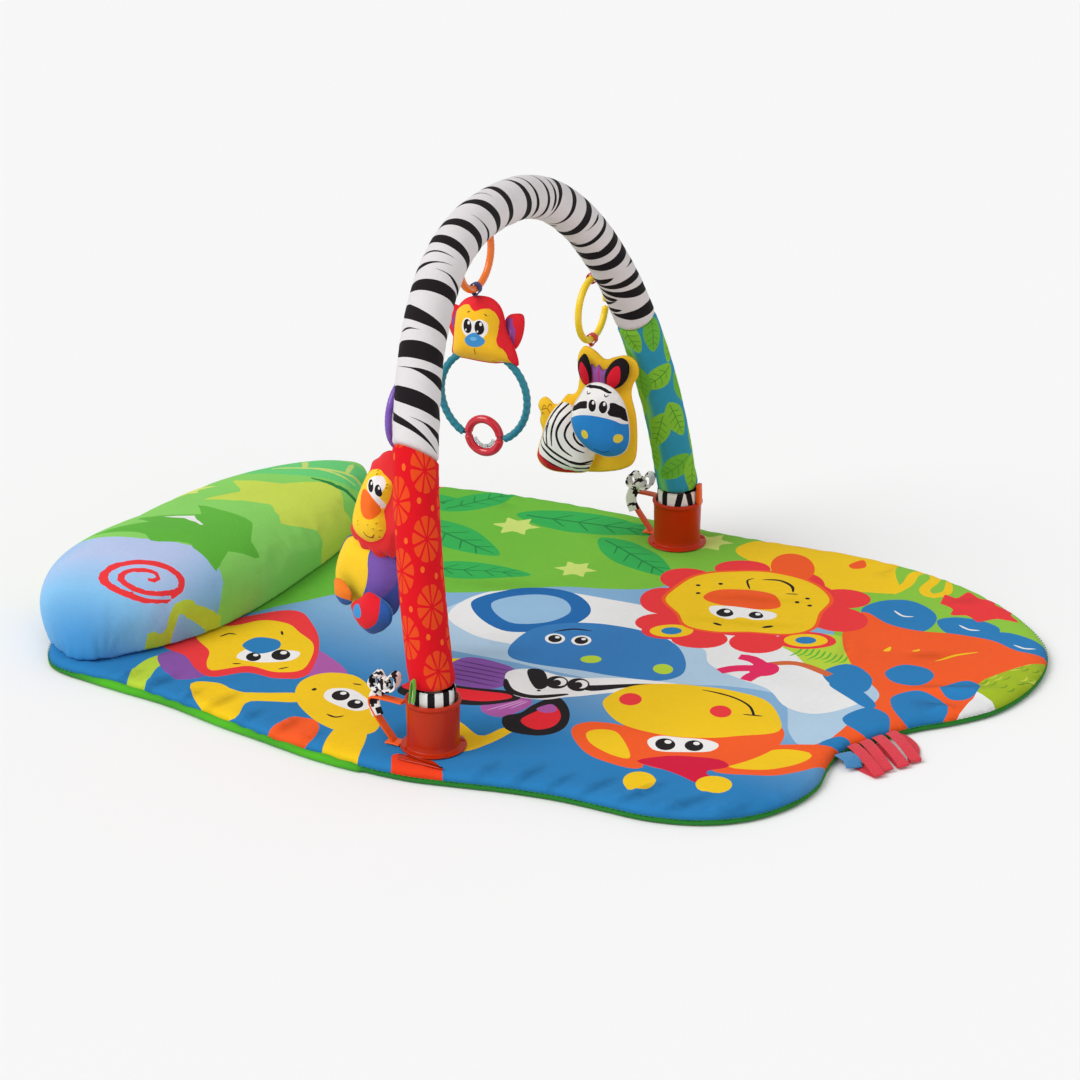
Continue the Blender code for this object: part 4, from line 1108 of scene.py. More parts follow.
def build_mat_edging():
    """The green hem round the edge, the backing cloth under the mat and the stitches between them."""
    wave = 1 + 0.10 * np.sin(np.arange(len(EDGE)) * 0.9 + 2 * np.sin(np.arange(len(EDGE)) * 0.21))
    near = np.clip((-EDGE[:, 1] - 0.22) / 0.01, 0, 1)
    begins = np.clip((EDGE[:, 0] - FLAP_START) / 0.05, 0, 1)
    ends = np.clip((FLAP_END - EDGE[:, 0]) / 0.004, 0, 1)
    flap = near * begins * ends
    flap *= 0.78 + 0.22 * np.sin(EDGE[:, 0] / 0.019)
    line = inset(EDGE, HEM_INSET)
    out = line - EDGE
    out /= np.linalg.norm(out, axis=1)[:, None]
    sections = []
    paint = []
    for i, (p, n) in enumerate(zip(line, out)):
        half, high = HEM_HALF + 0.0009 * flap[i], HEM_HIGH * wave[i] + 0.0010 * flap[i]
        section = []
        for k in range(HEM_SIDES):
            a = 2 * math.pi * k / HEM_SIDES
            side = half * math.copysign(abs(math.cos(a)) ** 0.8, math.cos(a)) + 0.0036 * flap[i]
            section.append((p[0] - n[0] * side, p[1] - n[1] * side, high + 0.0003 + high * math.sin(a)))
        sections.append(section)
        # painted shade: away from the flap, and along the flap's narrower stretches, the hem is painted the
        # darker green
        paint.append(blend_colour(HEM_SHADE_GREEN, HEM_BRIGHT, np.array(flap[i])))
    corners = [paint[j % len(paint)] for i in range(len(paint)) for _ in range(HEM_SIDES)
               for j in (i, i, i + 1, i + 1)]
    hem = swept("mat_edge_hem", sections, HEM_CLOTH, colours=corners)
    add_piece(hem, "mat", ["mat_binding"])

    back = Print(resampled(inset(EDGE, HEM_INSET), 0.008), GRASS, 0.016)
    flat, tris, _ = back.triangles()
    gap, _ = edge_distance(flat, EDGE)
    top = np.column_stack([flat, 0.0016 + 0.0004 * smooth_noise(flat, 0.05, 5)])
    under = np.column_stack([flat, np.full(len(flat), 0.0003)])
    under[:, 2] += 0.0003 * np.clip(1 - gap / 0.02, 0, 1)
    faces = [tuple(t) for t in tris] + [tuple(t[::-1] + len(flat)) for t in tris]
    faces += [(a, a + len(flat), b + len(flat), b) for a, b in rim_edges(tris)]
    cloth = mesh_object("mat_backing_cloth", np.vstack([top, under]), faces, GREEN_CLOTH)
    tidy_mesh(cloth)
    add_piece(cloth, "mat", ["mat_underside"])
    seam = resampled(inset(EDGE, 0.0007), 0.0052)
    obj = stitches("mat_edge_stitches", [(*p, EDGE_Z + 0.0002) for p in seam], 0.0034, 0.00042,
                   cloth_material("green_thread", linear(60, 140, 44)), closed=True)
    add_piece(obj, "mat")


def stitches(name, points, length, radius, material, closed=False):
    """Short thread stitches along a line of points, each one a small rounded bar."""
    points = np.asarray(points, float)
    bm = bmesh.new()
    count = len(points) if closed else len(points) - 1
    for i in range(count):
        a, b = Vector(points[i]), Vector(points[(i + 1) % len(points)])
        run = (b - a).normalized()
        turn = run.to_track_quat("Z", "Y").to_matrix().to_4x4()
        place = Matrix.Translation((a + b) / 2) @ turn @ Matrix.Diagonal((1, 1, length / radius / 2, 1))
        bmesh.ops.create_uvsphere(bm, u_segments=6, v_segments=4, radius=radius, matrix=place)
    return object_from(bm, name, material)


# ---------------------------------------------------------------- the head pillow

PILLOW_MIDDLE = (PILLOW_LOW.y + PILLOW_HIGH.y) / 2
PILLOW_HALF = (PILLOW_HIGH.y - PILLOW_LOW.y) / 2
PILLOW_SPAN = 0.245          # over the top, from seam to seam
PILLOW_BASE = PILLOW_LOW.z
PILLOW_RISE = PILLOW_HIGH.z - PILLOW_LOW.z
OVERHANG_X, OVERHANG_Z = -0.462, 0.0075     # where it passes the mat's edge, and how low it hangs there


def pillow_section(s):
    """The pillow's middle and half-width across, and its fullness, at a share s of its length."""
    near = s < 0
    s = np.clip(np.abs(s), 0, 1)
    outer = np.where(near, -0.484 + 0.082 * s ** 6, -0.484 + 0.125 * s ** 2.2)
    inner = PILLOW_HIGH.x - 0.075 * s ** 3
    full = np.maximum(1 - s ** np.where(near, 7, 4), 0) ** 0.5
    return (outer + inner) / 2, (inner - outer) / 2 * full ** 0.4, full


def pillow_flat(x, y):
    """Where a point seen from above lies on the flat cloth."""
    middle, half, _ = pillow_section((y - PILLOW_MIDDLE) / PILLOW_HALF)
    angle = math.acos(max(-1.0, min(1.0, (middle - x) / max(half, 1e-6))))
    return (angle / math.pi - 0.5) * PILLOW_SPAN * half / pillow_section(0)[1], y


def pillow_colour(x, y):
    """Blue below and at the near end, and pale on the crown."""
    height = 1 - np.abs(x) / (PILLOW_SPAN / 2)
    outer = np.where(x < 0, height, 1.0 - 0.8 * np.clip(x / 0.12, 0, 1))
    outer = np.minimum(outer, (y - PILLOW_LOW.y) / 0.12)
    deep = blend_colour(linear(52, 138, 204), linear(134, 194, 236), outer / 0.36)
    pale = np.clip((outer - 0.36) / 0.40, 0, 1)[..., None]
    return deep * (1 - pale) + np.array(linear(186, 202, 238)) * pale


def pillow_print():
    """The pillow's artwork: a blue near end with a red curl, then leaves on green."""
    lengths = np.linspace(-1, 1, 140)
    halves = np.array([pillow_section(s)[1] for s in lengths]) / pillow_section(0)[1] * PILLOW_SPAN / 2
    ys = PILLOW_MIDDLE + lengths * PILLOW_HALF
    loop = np.vstack([np.stack([-halves, ys], 1), np.stack([halves, ys], 1)[::-1]])
    art = Print(resampled(loop[::-1], 0.006), pillow_colour, 0.0078)

    def at(points):
        return [pillow_flat(*p) for p in points]

    far = [(-0.60, -0.150), (-0.10, -0.130), (-0.06, -0.132), (0.0, -0.128), (0.04, -0.112), (0.08, -0.120),
           (0.12, -0.150), (0.20, -0.165), (0.20, 0.32), (-0.60, 0.32)]
    art.poly(far, linear(140, 214, 100))
    art.poly([(-0.60, -0.150), (-0.10, -0.128), (-0.075, -0.098), (-0.088, -0.050), (-0.060, -0.010),
              (-0.086, 0.040), (-0.064, 0.090), (-0.090, 0.150), (-0.070, 0.210), (-0.60, 0.30)], PALE_LIME)
    art.poly([(-0.055, -0.118), (-0.020, -0.075), (-0.040, -0.060), (0.000, -0.030), (-0.015, 0.000),
              (0.040, -0.012), (0.060, -0.048), (0.085, -0.060), (0.060, -0.090), (0.075, -0.125),
              (0.030, -0.112), (0.010, -0.130), (-0.010, -0.112)], linear(98, 186, 60))
    art.poly([(-0.02, 0.020), (0.030, 0.040), (0.060, 0.014), (0.090, 0.050), (0.130, 0.040), (0.130, 0.130),
              (0.080, 0.110), (0.040, 0.140), (0.010, 0.095), (-0.030, 0.090), (-0.005, 0.060)],
             linear(204, 222, 84))
    art.blob([(-0.036, 0.120), (0.010, 0.128), (0.066, 0.168), (0.120, 0.240), (0.060, 0.236), (0.000, 0.205),
              (-0.034, 0.165)], linear(106, 212, 122))
    art.brush([(-0.020, 0.140), (0.030, 0.172), (0.090, 0.222)], 0.0060, PALE_LIME, (0.4, 0.2))
    for start, end in (((0.000, 0.154), (-0.012, 0.180)), ((0.030, 0.174), (0.016, 0.208)),
                       ((0.055, 0.192), (0.050, 0.226)), ((0.010, 0.158), (0.050, 0.164))):
        art.brush([start, end], 0.0040, PALE_LIME, (1, 0.2))
    art.brush([(0.020, 0.128), (0.070, 0.142), (0.120, 0.150)], 0.0070, DARK_LEAF, (0.3, 0.3))
    art.poly([(-0.020, -0.052), (-0.004, -0.050), (0.020, -0.062), (0.004, -0.046), (-0.002, -0.036)], WHITE)
    print_star_leaf(art, (-0.060, 0.060), 0.030, linear(228, 234, 120), 7)
    print_star_leaf(art, (-0.045, 0.178), 0.024, linear(150, 214, 104), 6)
    # a red curl on the near end, two turns of a leaning spiral
    middle = np.array(pillow_flat(-0.350, -0.184))
    wide, high = np.array((0.0317, 0.0144)), np.array((0.0053, -0.0208))
    curl = []
    for share in np.linspace(0, 1, 48):
        angle = 2 * math.pi * 2.05 * share + 0.5
        reach = np.interp(share, [0, 0.45, 0.62, 0.85, 1], [1, 0.97, 0.64, 0.42, 0.12])
        curl.append(middle + reach * (wide * math.cos(angle) + high * math.sin(angle)))
    art.brush(curl, [0.0080, 0.0076, 0.0070, 0.0060], CORAL, (0.5, 0.4))
    art.brush(at([(-0.285, -0.136), (-0.304, -0.158), (-0.317, -0.180), (-0.318, -0.198), (-0.312, -0.216)]),
              0.011, linear(190, 214, 64), (0.9, 1))
    return art


def build_pillow():
    """The head pillow: a crescent cushion, full over its crown and pulled in along its seams."""
    art = pillow_print()
    flat, tris, colours = art.triangles()
    s = (flat[:, 1] - PILLOW_MIDDLE) / PILLOW_HALF
    middle, half, full = pillow_section(s)
    widest = pillow_section(0)[1]
    share = np.clip(flat[:, 0] / np.maximum(PILLOW_SPAN * half / widest, 1e-6) + 0.5, 0, 1)
    rim = np.unique(np.array(rim_edges(tris)).ravel())
    angle = math.pi * share
    rise = PILLOW_RISE * full * np.sin(angle) ** 0.66
    rise *= 1 + 0.30 * np.exp(-((s + 0.52) / 0.40) ** 2) - 0.10 * np.clip(s, 0, 1)
    rise[rim] = 0
    base = PILLOW_BASE - 0.0082 * (1 + np.cos(angle)) / 2
    x = middle - half * np.cos(angle)
    over = 0.008 * np.sin(2 * np.clip(angle, 0, math.pi / 2)) * full
    gap, place = edge_distance(flat, art.outline)
    pucker = np.sin(place / 0.0046 + 2.4 * np.sin(place / 0.031)) * (0.55 + 0.45 * np.sin(place / 0.013))
    rise = rise + 0.0016 * pucker * np.exp(-((gap - 0.016) / 0.012) ** 2) * (rise > 0)
    top = np.column_stack([x - over, flat[:, 1], base + rise])
    low = np.column_stack([x, flat[:, 1], base])
    inner = np.setdiff1d(np.arange(len(flat)), rim)
    below = np.arange(len(flat))
    below[inner] = len(flat) + np.arange(len(inner))
    points = np.vstack([top, low[inner]])
    faces = np.vstack([tris, below[tris][:, ::-1]])
    paint = np.vstack([colours.reshape(-1, 3), colours[:, ::-1].reshape(-1, 3)])
    obj = mesh_object("head_pillow_cushion", points, faces, PILLOW_CLOTH, paint)
    wadding_pressure(obj, cap=0.006, frames=16)
    settle_on(obj, PILLOW_BASE)
    subdivided(obj)
    return add_piece(obj, "mat", ["head_pillow"])


def settle_on(obj, base):
    """Keeps a cushion above the mat, and above the floor where it reaches past the mat's edge."""
    for v in obj.data.vertices:
        over_edge = min(max((OVERHANG_X - v.co.x) / 0.02, 0), 1)
        v.co.z = max(v.co.z, base - (base - OVERHANG_Z) * over_edge)


# ---------------------------------------------------------------- the arch's line

ARCH_FOOT_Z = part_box("arch_tube")[0].z
ARCH_RISE = 0.37
ARCH_LEAN = 0.072
SLEEVE_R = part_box("leaf_sleeve")[1].x
CUFF_LOW, CUFF_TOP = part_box("arch_cuff_near")[0].z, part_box("arch_cuff_near")[1].z
BEND_T = math.asin((0.092 - ARCH_FOOT_Z) / ARCH_RISE)
RED_END = math.radians(35)
ZEBRA_END = math.radians(147.5)


def arch_point(t):
    """The arch's middle line: t is 0 at the near foot and pi at the far one."""
    side = -math.copysign(SOCKET_Y * abs(math.cos(t)) ** 0.83, math.cos(t))
    return (-ARCH_LEAN * math.sin(t) ** 1.26, side, ARCH_FOOT_Z + ARCH_RISE * math.sin(t))


class ArchLine:
    """The arch's middle line, measured along its length from the near foot, with its outward direction."""

    def __init__(self):
        count = 400
        bend = [arch_point(BEND_T + (math.pi - 2 * BEND_T) * i / count) for i in range(count + 1)]
        feet = [[(0, side * SOCKET_Y, ARCH_FOOT_Z + rise) for rise in (0, 0.008, 0.016)] for side in (-1, 1)]
        line = rounded(feet[0] + bend + feet[1][::-1], closed=False, step=0.002)
        self.points = resampled(line, 0.001, closed=False)
        self.length = np.concatenate([[0], np.cumsum(np.linalg.norm(np.diff(self.points, axis=0), axis=1))])
        tangent = np.gradient(self.points, axis=0)
        self.tangent = tangent / np.linalg.norm(tangent, axis=1)[:, None]
        side = np.array([1.0, 0, 0]) - self.tangent * self.tangent[:, :1]
        self.side = side / np.linalg.norm(side, axis=1)[:, None]
        out = np.cross(self.side, self.tangent)
        from_middle = self.points - np.array([-0.036, 0, 0.2])
        self.out = out * np.sign((out * from_middle).sum(1))[:, None]

    def at(self, values, along):
        return np.stack([np.interp(along, self.length, values[:, k]) for k in range(3)], 1)

    def surface(self, along, angle, radius):
        """Points on a tube round the line. The angle runs from its outer side towards +X."""
        return self.at(self.points, along) + radius[:, None] * (
            np.cos(angle)[:, None] * self.at(self.out, along)
            + np.sin(angle)[:, None] * self.at(self.side, along))

    def place_of(self, t):
        gap = np.linalg.norm(self.points - np.array(arch_point(t)), axis=1)
        return self.length[gap.argmin()]


ARCH = ArchLine()
SEAM_ANGLE = math.radians(-110)     # where the sleeves are sewn shut, on the head side
SLEEVE_SPACING = 0.0035


def sleeve_print(start, end, ground):
    """Flat cloth for a sleeve: X runs along the arch and Y round it, as an arc length."""
    low = SEAM_ANGLE * SLEEVE_R
    high = low + 2 * math.pi * SLEEVE_R
    corners = [(start, low), (end, low), (end, high), (start, high)]
    return Print(resampled(corners, SLEEVE_SPACING), ground, SLEEVE_SPACING)


def wrapped(art, points, colour):
    """Draws a shape three times, a turn apart, so that it runs on over the seam."""
    turn = 2 * math.pi * SLEEVE_R
    low, high = art.outline[:, 1].min(), art.outline[:, 1].max()
    for shift in (-turn, 0, turn):
        moved = np.asarray(points, float) + (0, shift)
        if moved[:, 1].max() > low and moved[:, 1].min() < high:
            art.add(moved, colour)


JOIN_TILT = 0.0080                  # how far the join between red and zebra cloth slopes, each way
JOIN_TURN = math.radians(-45)       # the side of the arch where it reaches furthest up
JOIN_REACH = 0.035                  # how much of the arch's length it pulls along


def tilted(along, angle, join):
    """Places along the arch, moved so that the cloths meet on a slope where the red one ends."""
    near = np.clip(1 - np.abs(along - join) / JOIN_REACH, 0, 1)
    return along + JOIN_TILT * np.cos(angle - JOIN_TURN) * near


def close_wrap(obj):
    """Sews wrapped cloth shut along its seam and fills its two ends."""
    bm = bmesh.new()
    bm.from_mesh(obj.data)
    bmesh.ops.remove_doubles(bm, verts=bm.verts, dist=0.00003)
    bmesh.ops.holes_fill(bm, edges=[e for e in bm.edges if e.is_boundary], sides=0)
    bmesh.ops.recalc_face_normals(bm, faces=bm.faces)
    bm.to_mesh(obj.data)
    bm.free()
    obj.data.shade_smooth()


def build_sleeve(name, art, node, gather):
    """Wraps printed cloth round the arch's foam, with gathers on the inside of the bend and tucked ends."""
    flat, tris, colours = art.triangles()
    start, end = art.outline[:, 0].min(), art.outline[:, 0].max()
    angle = flat[:, 1] / SLEEVE_R
    inner = (1 - np.cos(angle)) / 2
    rib = np.array([noise.noise(Vector((p[0] / 0.0085, math.cos(a) * 0.9, math.sin(a) * 0.9)))
                    for p, a in zip(flat, angle)])
    fine = np.array([noise.noise(Vector((p[0] / 0.0035, math.cos(a) * 2.2, math.sin(a) * 2.2 + 5)))
                     for p, a in zip(flat, angle)])
    radius = SLEEVE_R - 0.0005 + gather * rib * (0.35 + 0.9 * inner) + gather * 0.35 * fine
    to_end = np.minimum(flat[:, 0] - start, end - flat[:, 0])
    radius -= 0.0019 * np.clip(1 - to_end / 0.0030, 0, 1) ** 2
    seam = np.abs((angle - SEAM_ANGLE + math.pi) % (2 * math.pi) - math.pi) * SLEEVE_R
    radius -= 0.0007 * np.exp(-(seam / 0.0012) ** 2)
    along = tilted(flat[:, 0], angle, ARCH.place_of(RED_END))
    obj = mesh_object(name, ARCH.surface(along, angle, radius), tris, SLEEVE_CLOTH, colours.reshape(-1, 3))
    close_wrap(obj)
    return add_piece(obj, "arch", [node])


# Zebra bands: place along the arch in mm, angle in degrees and width in mm, at one edge and at the other
BANDS = [
    (253, -62, 8, 226, 86, 3), (249, 14, 1, 239, 88, 6.5), (273, -52, 11, 257, 86, 11),
    (294, -36, 1, 283, 86, 9), (310, -52, 12.5, 303, 86, 12), (326, -50, 2.2, 325, 8, 0.6),
    (345, -52, 11, 328, 94, 5), (367, -48, 9, 366, 104, 10), (383, 16, 1, 378, 84, 5.5),
    (386, -48, 5.5, 392, 46, 1), (401, -60, 1.8, 400, 44, 1), (420, -58, 8, 411, 108, 7.5),
    (439, -52, 7.5, 442, 102, 9), (456, 28, 1, 463, 106, 5.5), (472, -46, 7.5, 484, 94, 9),
    (496, -38, 1.8, 496, 26, 0.6), (514, -32, 6.5, 511, 114, 7.5), (541, -30, 4, 550, 128, 10),
    (556, -20, 1.8, 567, 114, 5), (579, 6, 3, 588, 126, 5), (596, 20, 2, 600, 118, 4),
    (613, 22, 8, 604, 154, 3), (636, 30, 8.5, 633, 178, 4), (665, 30, 10, 665, 198, 8),
    (683, 64, 3, 676, 124, 1), (699, 30, 5, 694, 192, 4.5), (723, 30, 9, 716, 188, 7.5),
    (740, 40, 10, 735, 172, 8), (762, 40, 3.6, 754, 96, 1.5), (775, 45, 6.5, 765, 176, 5.5),
    (794, 40, 9, 777, 160, 6.5), (786, 178, 3, 792, 240, 7), (816, 40, 10, 808, 150, 9.5),
]


def print_bands(art):
    """Black bands, each thick over one side and tapering where it runs round to the other."""
    generator = random.Random(5)
    for first, a0, w0, second, a1, w1 in BANDS:
        reach0 = 55 if w0 > 4 else 6
        reach1 = 60 if w1 > 4 else 6
        slope = (second - first) / (a1 - a0)
        knots = [(first - slope * reach0, a0 - reach0), (first, a0),
                 ((first + second) / 2 + generator.uniform(-1.5, 1.5), (a0 + a1) / 2),
                 (second, a1), (second + slope * reach1, a1 + reach1)]
        line = [(u / 1000, math.radians(a) * SLEEVE_R) for u, a in knots]
        widths = [share / 1000 for share in (w0 * 0.75, w0 * 1.15, (w0 + w1) * 0.64, w1 * 1.15, w1 * 0.75)]
        wrapped(art, brush_points(line, widths, (0.05, 0.05), 0.0028), BLACK)
    for i in range(26):             # slivers on the head side, between the bands' ends
        u = 0.235 + 0.0226 * i + generator.uniform(-0.004, 0.004)
        middle = math.radians(generator.uniform(185, 235)) * SLEEVE_R
        half = generator.uniform(0.010, 0.022)
        tilt = generator.uniform(-0.004, 0.004)
        line = [(u - tilt, middle - half), (u + generator.uniform(-0.001, 0.001), middle),
                (u + tilt, middle + half)]
        wrapped(art, brush_points(line, generator.uniform(0.002, 0.0065), (0.05, 0.05), 0.0028), BLACK)


def print_citrus(art, centre, radii, turn):
    """A slice of fruit: wedges round a middle."""
    wedges = 9
    for i in range(wedges):
        middle = turn + 2 * math.pi * i / wedges
        half = math.pi / wedges * 0.78
        loop = [(0.13 * math.cos(middle), 0.13 * math.sin(middle))]
        for k in (-1, -0.5, 0, 0.5, 1):
            r = 0.975 if abs(k) == 1 else 1.0
            loop.append((r * math.cos(middle + half * k), r * math.sin(middle + half * k)))
        points = [(centre[0] + radii[0] * p[0], centre[1] + radii[1] * p[1]) for p in loop]
        wrapped(art, resampled(points, 0.0018), linear(236, 76, 30))


def build_sleeves():
    """The arch's three printed sleeves: citrus, zebra bands, and leaves."""
    red_end, zebra_end = ARCH.place_of(RED_END), ARCH.place_of(ZEBRA_END)
    foot = CUFF_TOP - ARCH_FOOT_Z + 0.0010
    total = ARCH.length[-1]
    gap = 0.0006
    red = sleeve_print(foot, red_end - gap, linear(226, 20, 32))
    columns = ((50, 0.030), (-24, 0.062), (-98, 0.032), (124, 0.058), (196, 0.030))
    for column, (angle, first) in enumerate(columns):
        for row in range(4):
            u = first + 0.0585 * row
            print_citrus(red, (u, math.radians(angle) * SLEEVE_R), (0.0200, 0.0135), 0.5 * column + 0.3 * row)
            for k, turn in ((0.026, 20), (0.033, -16)):
                centre = (u + k, math.radians(angle + turn) * SLEEVE_R)
                wrapped(red, oval_points(centre, (0.0028, 0.0020), 0, 0.0012), linear(246, 104, 40))
    build_sleeve("red_sleeve_cloth", red, "red_sleeve", 0.0003)

    zebra = sleeve_print(red_end + gap, zebra_end - gap, linear(226, 221, 222))
    print_bands(zebra)
    build_sleeve("zebra_sleeve_cloth", zebra, "zebra_sleeve", 0.0007)

    def leaf_ground(_, v):
        edge = np.abs(np.degrees(v / SLEEVE_R) - 200) / 16
        return blend_colour(linear(126, 208, 112), linear(50, 152, 184), edge - 0.3)

    leaf = sleeve_print(zebra_end + gap, total - foot, leaf_ground)
    stage = Print(leaf.outline, leaf.ground, leaf.spacing)
    for i, (u, angle, turn) in enumerate((
            (0.838, 112, 20), (0.834, 182, -15), (0.888, 140, 70), (0.892, 196, 10), (0.938, 120, -12),
            (0.946, 176, 25), (0.990, 150, 62), (1.000, 96, 20), (0.862, 60, 40), (0.912, 66, -20),
            (0.962, 50, 35), (0.846, -8, 10), (0.896, 6, 60), (0.948, -14, -25), (0.996, 4, 20),
            (0.868, -70, 30), (0.924, -62, -15), (0.978, -76, 40), (0.858, 226, -30), (0.918, 232, 20),
            (0.974, 222, -10))):
        shade = linear(132, 200, 60) if i % 3 else linear(110, 188, 62)
        print_leaf(stage, (u, math.radians(angle) * SLEEVE_R), 0.0205, 0.0118, turn, shade,
                   linear(86, 158, 50))
    for loop, colour in stage.shapes:
        wrapped(leaf, loop, colour)
    build_sleeve("leaf_sleeve_cloth", leaf, "leaf_sleeve", 0.0005)


def build_cuffs():
    """The black and white cuffs that tuck into the cups."""
    for side, word in ((-1, "near"), (1, "far")):
        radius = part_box(f"arch_cuff_{word}")[1].x
        around = 2 * math.pi * radius
        art = Print(resampled([(0, CUFF_LOW), (around, CUFF_LOW), (around, CUFF_TOP), (0, CUFF_TOP)],
                              0.0025), WHITE, 0.0030)
        blocks = 9
        for i in range(blocks):
            left = around * (i + 0.12) / blocks
            right = left + around * 0.46 / blocks
            lean = 0.0 if side < 0 else 0.004 * math.sin(i * 2.1)
            art.poly([(left - lean, CUFF_LOW - 0.002), (right - lean, CUFF_LOW - 0.002),
                      (right + lean, CUFF_TOP + 0.002), (left + lean, CUFF_TOP + 0.002)], BLACK)
        flat, tris, colours = art.triangles()
        angle = flat[:, 0] / radius
        ruffle = [noise.noise(Vector((math.cos(a) * 3, math.sin(a) * 3, p[1] * 90)))
                  for p, a in zip(flat, angle)]
        out = radius - 0.0002 + 0.0003 * np.array(ruffle)
        near_top = np.clip((flat[:, 1] - CUFF_TOP + 0.0016) / 0.0016, 0, 1)
        out -= 0.0011 * near_top ** 2
        points = np.column_stack([out * np.cos(angle), side * SOCKET_Y + out * np.sin(angle), flat[:, 1]])
        obj = mesh_object(f"checked_cuff_{word}", points, tris, CHECKED, colours.reshape(-1, 3))
        close_wrap(obj)
        add_piece(obj, "arch", [f"arch_cuff_{word}"])


# ---------------------------------------------------------------- the cups, straps and bows

def turned(name, profile, place, material, steps=96, smooth_angle=35):
    """A profile of (radius, height), turned about the upright line through place."""
    points, faces = [], []
    count = len(profile)
    for i in range(steps):
        a = 2 * math.pi * i / steps
        points += [(place[0] + r * math.cos(a), place[1] + r * math.sin(a), place[2] + z) for r, z in profile]
    for i in range(steps):
        for k in range(count - 1):
            j = (i + 1) % steps
            faces.append((i * count + k, j * count + k, j * count + k + 1, i * count + k + 1))
    obj = mesh_object(name, points, faces, material)
    tidy_mesh(obj)
    bm = bmesh.new()
    bm.from_mesh(obj.data)
    bmesh.ops.dissolve_degenerate(bm, dist=1e-7, edges=bm.edges)
    bm.to_mesh(obj.data)
    bm.free()
    obj.data.shade_smooth()
    obj.data.set_sharp_from_angle(angle=math.radians(smooth_angle))
    return obj


def softened(profile, reach=0.0006, samples=4):
    """Rounds each corner of a turned profile."""
    out = [profile[0]]
    for i in range(1, len(profile) - 1):
        a, b, c = (Vector(profile[i + k]) for k in (-1, 0, 1))
        cut = min(reach, (a - b).length * 0.45, (c - b).length * 0.45)
        first, last = b + (a - b).normalized() * cut, b + (c - b).normalized() * cut
        for s in range(samples + 1):
            t = s / samples
            out.append(tuple(first * (1 - t) ** 2 + b * 2 * t * (1 - t) + last * t * t))
    out.append(profile[-1])
    return out


def rounded_bar(name, line, width, thick, across, material, power=0.35):
    """A flat strap with rounded edges along a 3-D line; across is its width's direction."""
    line = rounded(line, closed=False, step=0.0012)
    tangent = np.gradient(line, axis=0)
    tangent /= np.linalg.norm(tangent, axis=1)[:, None]
    across = np.asarray(across, float)
    sections = []
    for p, t in zip(line, tangent):
        side = across - t * (across @ t)
        side /= np.linalg.norm(side)
        normal = np.cross(t, side)
        section = []
        for k in range(16):
            a = 2 * math.pi * k / 16
            c, s = math.cos(a), math.sin(a)
            wide = width / 2 * math.copysign(abs(c) ** power, c)
            section.append(p + side * wide + normal * thick / 2 * math.copysign(abs(s) ** 0.7, s))
        sections.append(section)
    return swept(name, sections, material, closed=False)


LUG_R, LUG_Z, LUG_HALF = 0.0272, 0.0155, 0.004      # the lugs' circle, their height and half their length
STRAP_Y = 0.2735                                    # how far out the straps stand


def build_cups():
    """The two orange cups with their flanges and lugs, and the far cup's upright clip."""
    profile = [
        (0.0001, 0.0160), (0.0190, 0.0160), (0.0216, 0.0190), (0.0218, 0.0590), (0.0223, 0.0609),
        (0.0238, CUP_RIM_Z), (0.0252, 0.0606), (0.0257, 0.0589), (0.0251, 0.0573), (0.0242, 0.0564),
        (0.0240, 0.0480), (0.0236, 0.0300), (0.0236, 0.0205), (0.0242, 0.0168), (0.0256, 0.0159),
        (FLANGE_R - 0.0008, 0.0157), (FLANGE_R, 0.0150), (FLANGE_R - 0.0006, 0.0138), (0.0050, 0.0138),
        (0.0050, 0.0060), (0.0001, 0.0060)]
    for side, word in ((-1, "near"), (1, "far")):
        place = (0, side * SOCKET_Y, 0)
        cup = turned(f"orange_cup_{word}", softened(profile), place, CUP_PLASTIC)
        add_piece(cup, "mat", [f"socket_cup_{word}"])
        for k in range(4):                              # low lugs that hold the cup's flange to the mat
            a = math.radians(45 + 90 * k)
            out, along = Vector((math.cos(a), math.sin(a), 0)), Vector((math.sin(a), -math.cos(a), 0))
            spot = Vector(place) + out * LUG_R + Vector((0, 0, LUG_Z))
            line = [spot - along * LUG_HALF, spot + Vector((0, 0, 0.0004)), spot + along * LUG_HALF]
            lug = rounded_bar(f"cup_lug_{word}_{k + 1}", line, 0.0040, 0.0018, out, CUP_PLASTIC)
            add_piece(lug, "mat")
        build_strap(side, word)
        build_bow(side, word)
    line = [(0.0235, SOCKET_Y, 0.058), (0.0238, SOCKET_Y, 0.066), (0.0236, SOCKET_Y, 0.074),
            (0.0232, SOCKET_Y, 0.0805)]
    post = rounded_bar("far_cup_clip", line, 0.0085, 0.0042, (0, 1, 0), STRAP_PLASTIC)
    add_piece(post, "mat")


def build_strap(side, word):
    """The orange strap from the cup's rim, out to its corner and down to the mat."""
    y = side * STRAP_Y
    line = [(-0.0240, y, 0.0553), (-0.0330, y, 0.0559), (-0.0440, y, 0.0562), (-0.0530, y, 0.0559),
            (-0.0562, y, 0.0545), (-0.0572, y, 0.0515), (-0.0550, y, 0.0450), (-0.0480, y, 0.0340),
            (-0.0410, y, 0.0250), (-0.0352, y, 0.0178), (-0.0332, y, 0.0146)]
    strap = rounded_bar(f"orange_strap_{word}", line, 0.0100, 0.0021, (0, 1, 0), STRAP_PLASTIC)
    add_piece(strap, "mat", [f"socket_strap_{word}"])
    line = [(-0.0405, y, 0.0146), (-0.0340, y, 0.0150), (-0.0262, y, 0.0146)]
    foot = rounded_bar(f"strap_foot_{word}", line, 0.0128, 0.0020, (0, 1, 0), STRAP_PLASTIC)
    add_piece(foot, "mat")


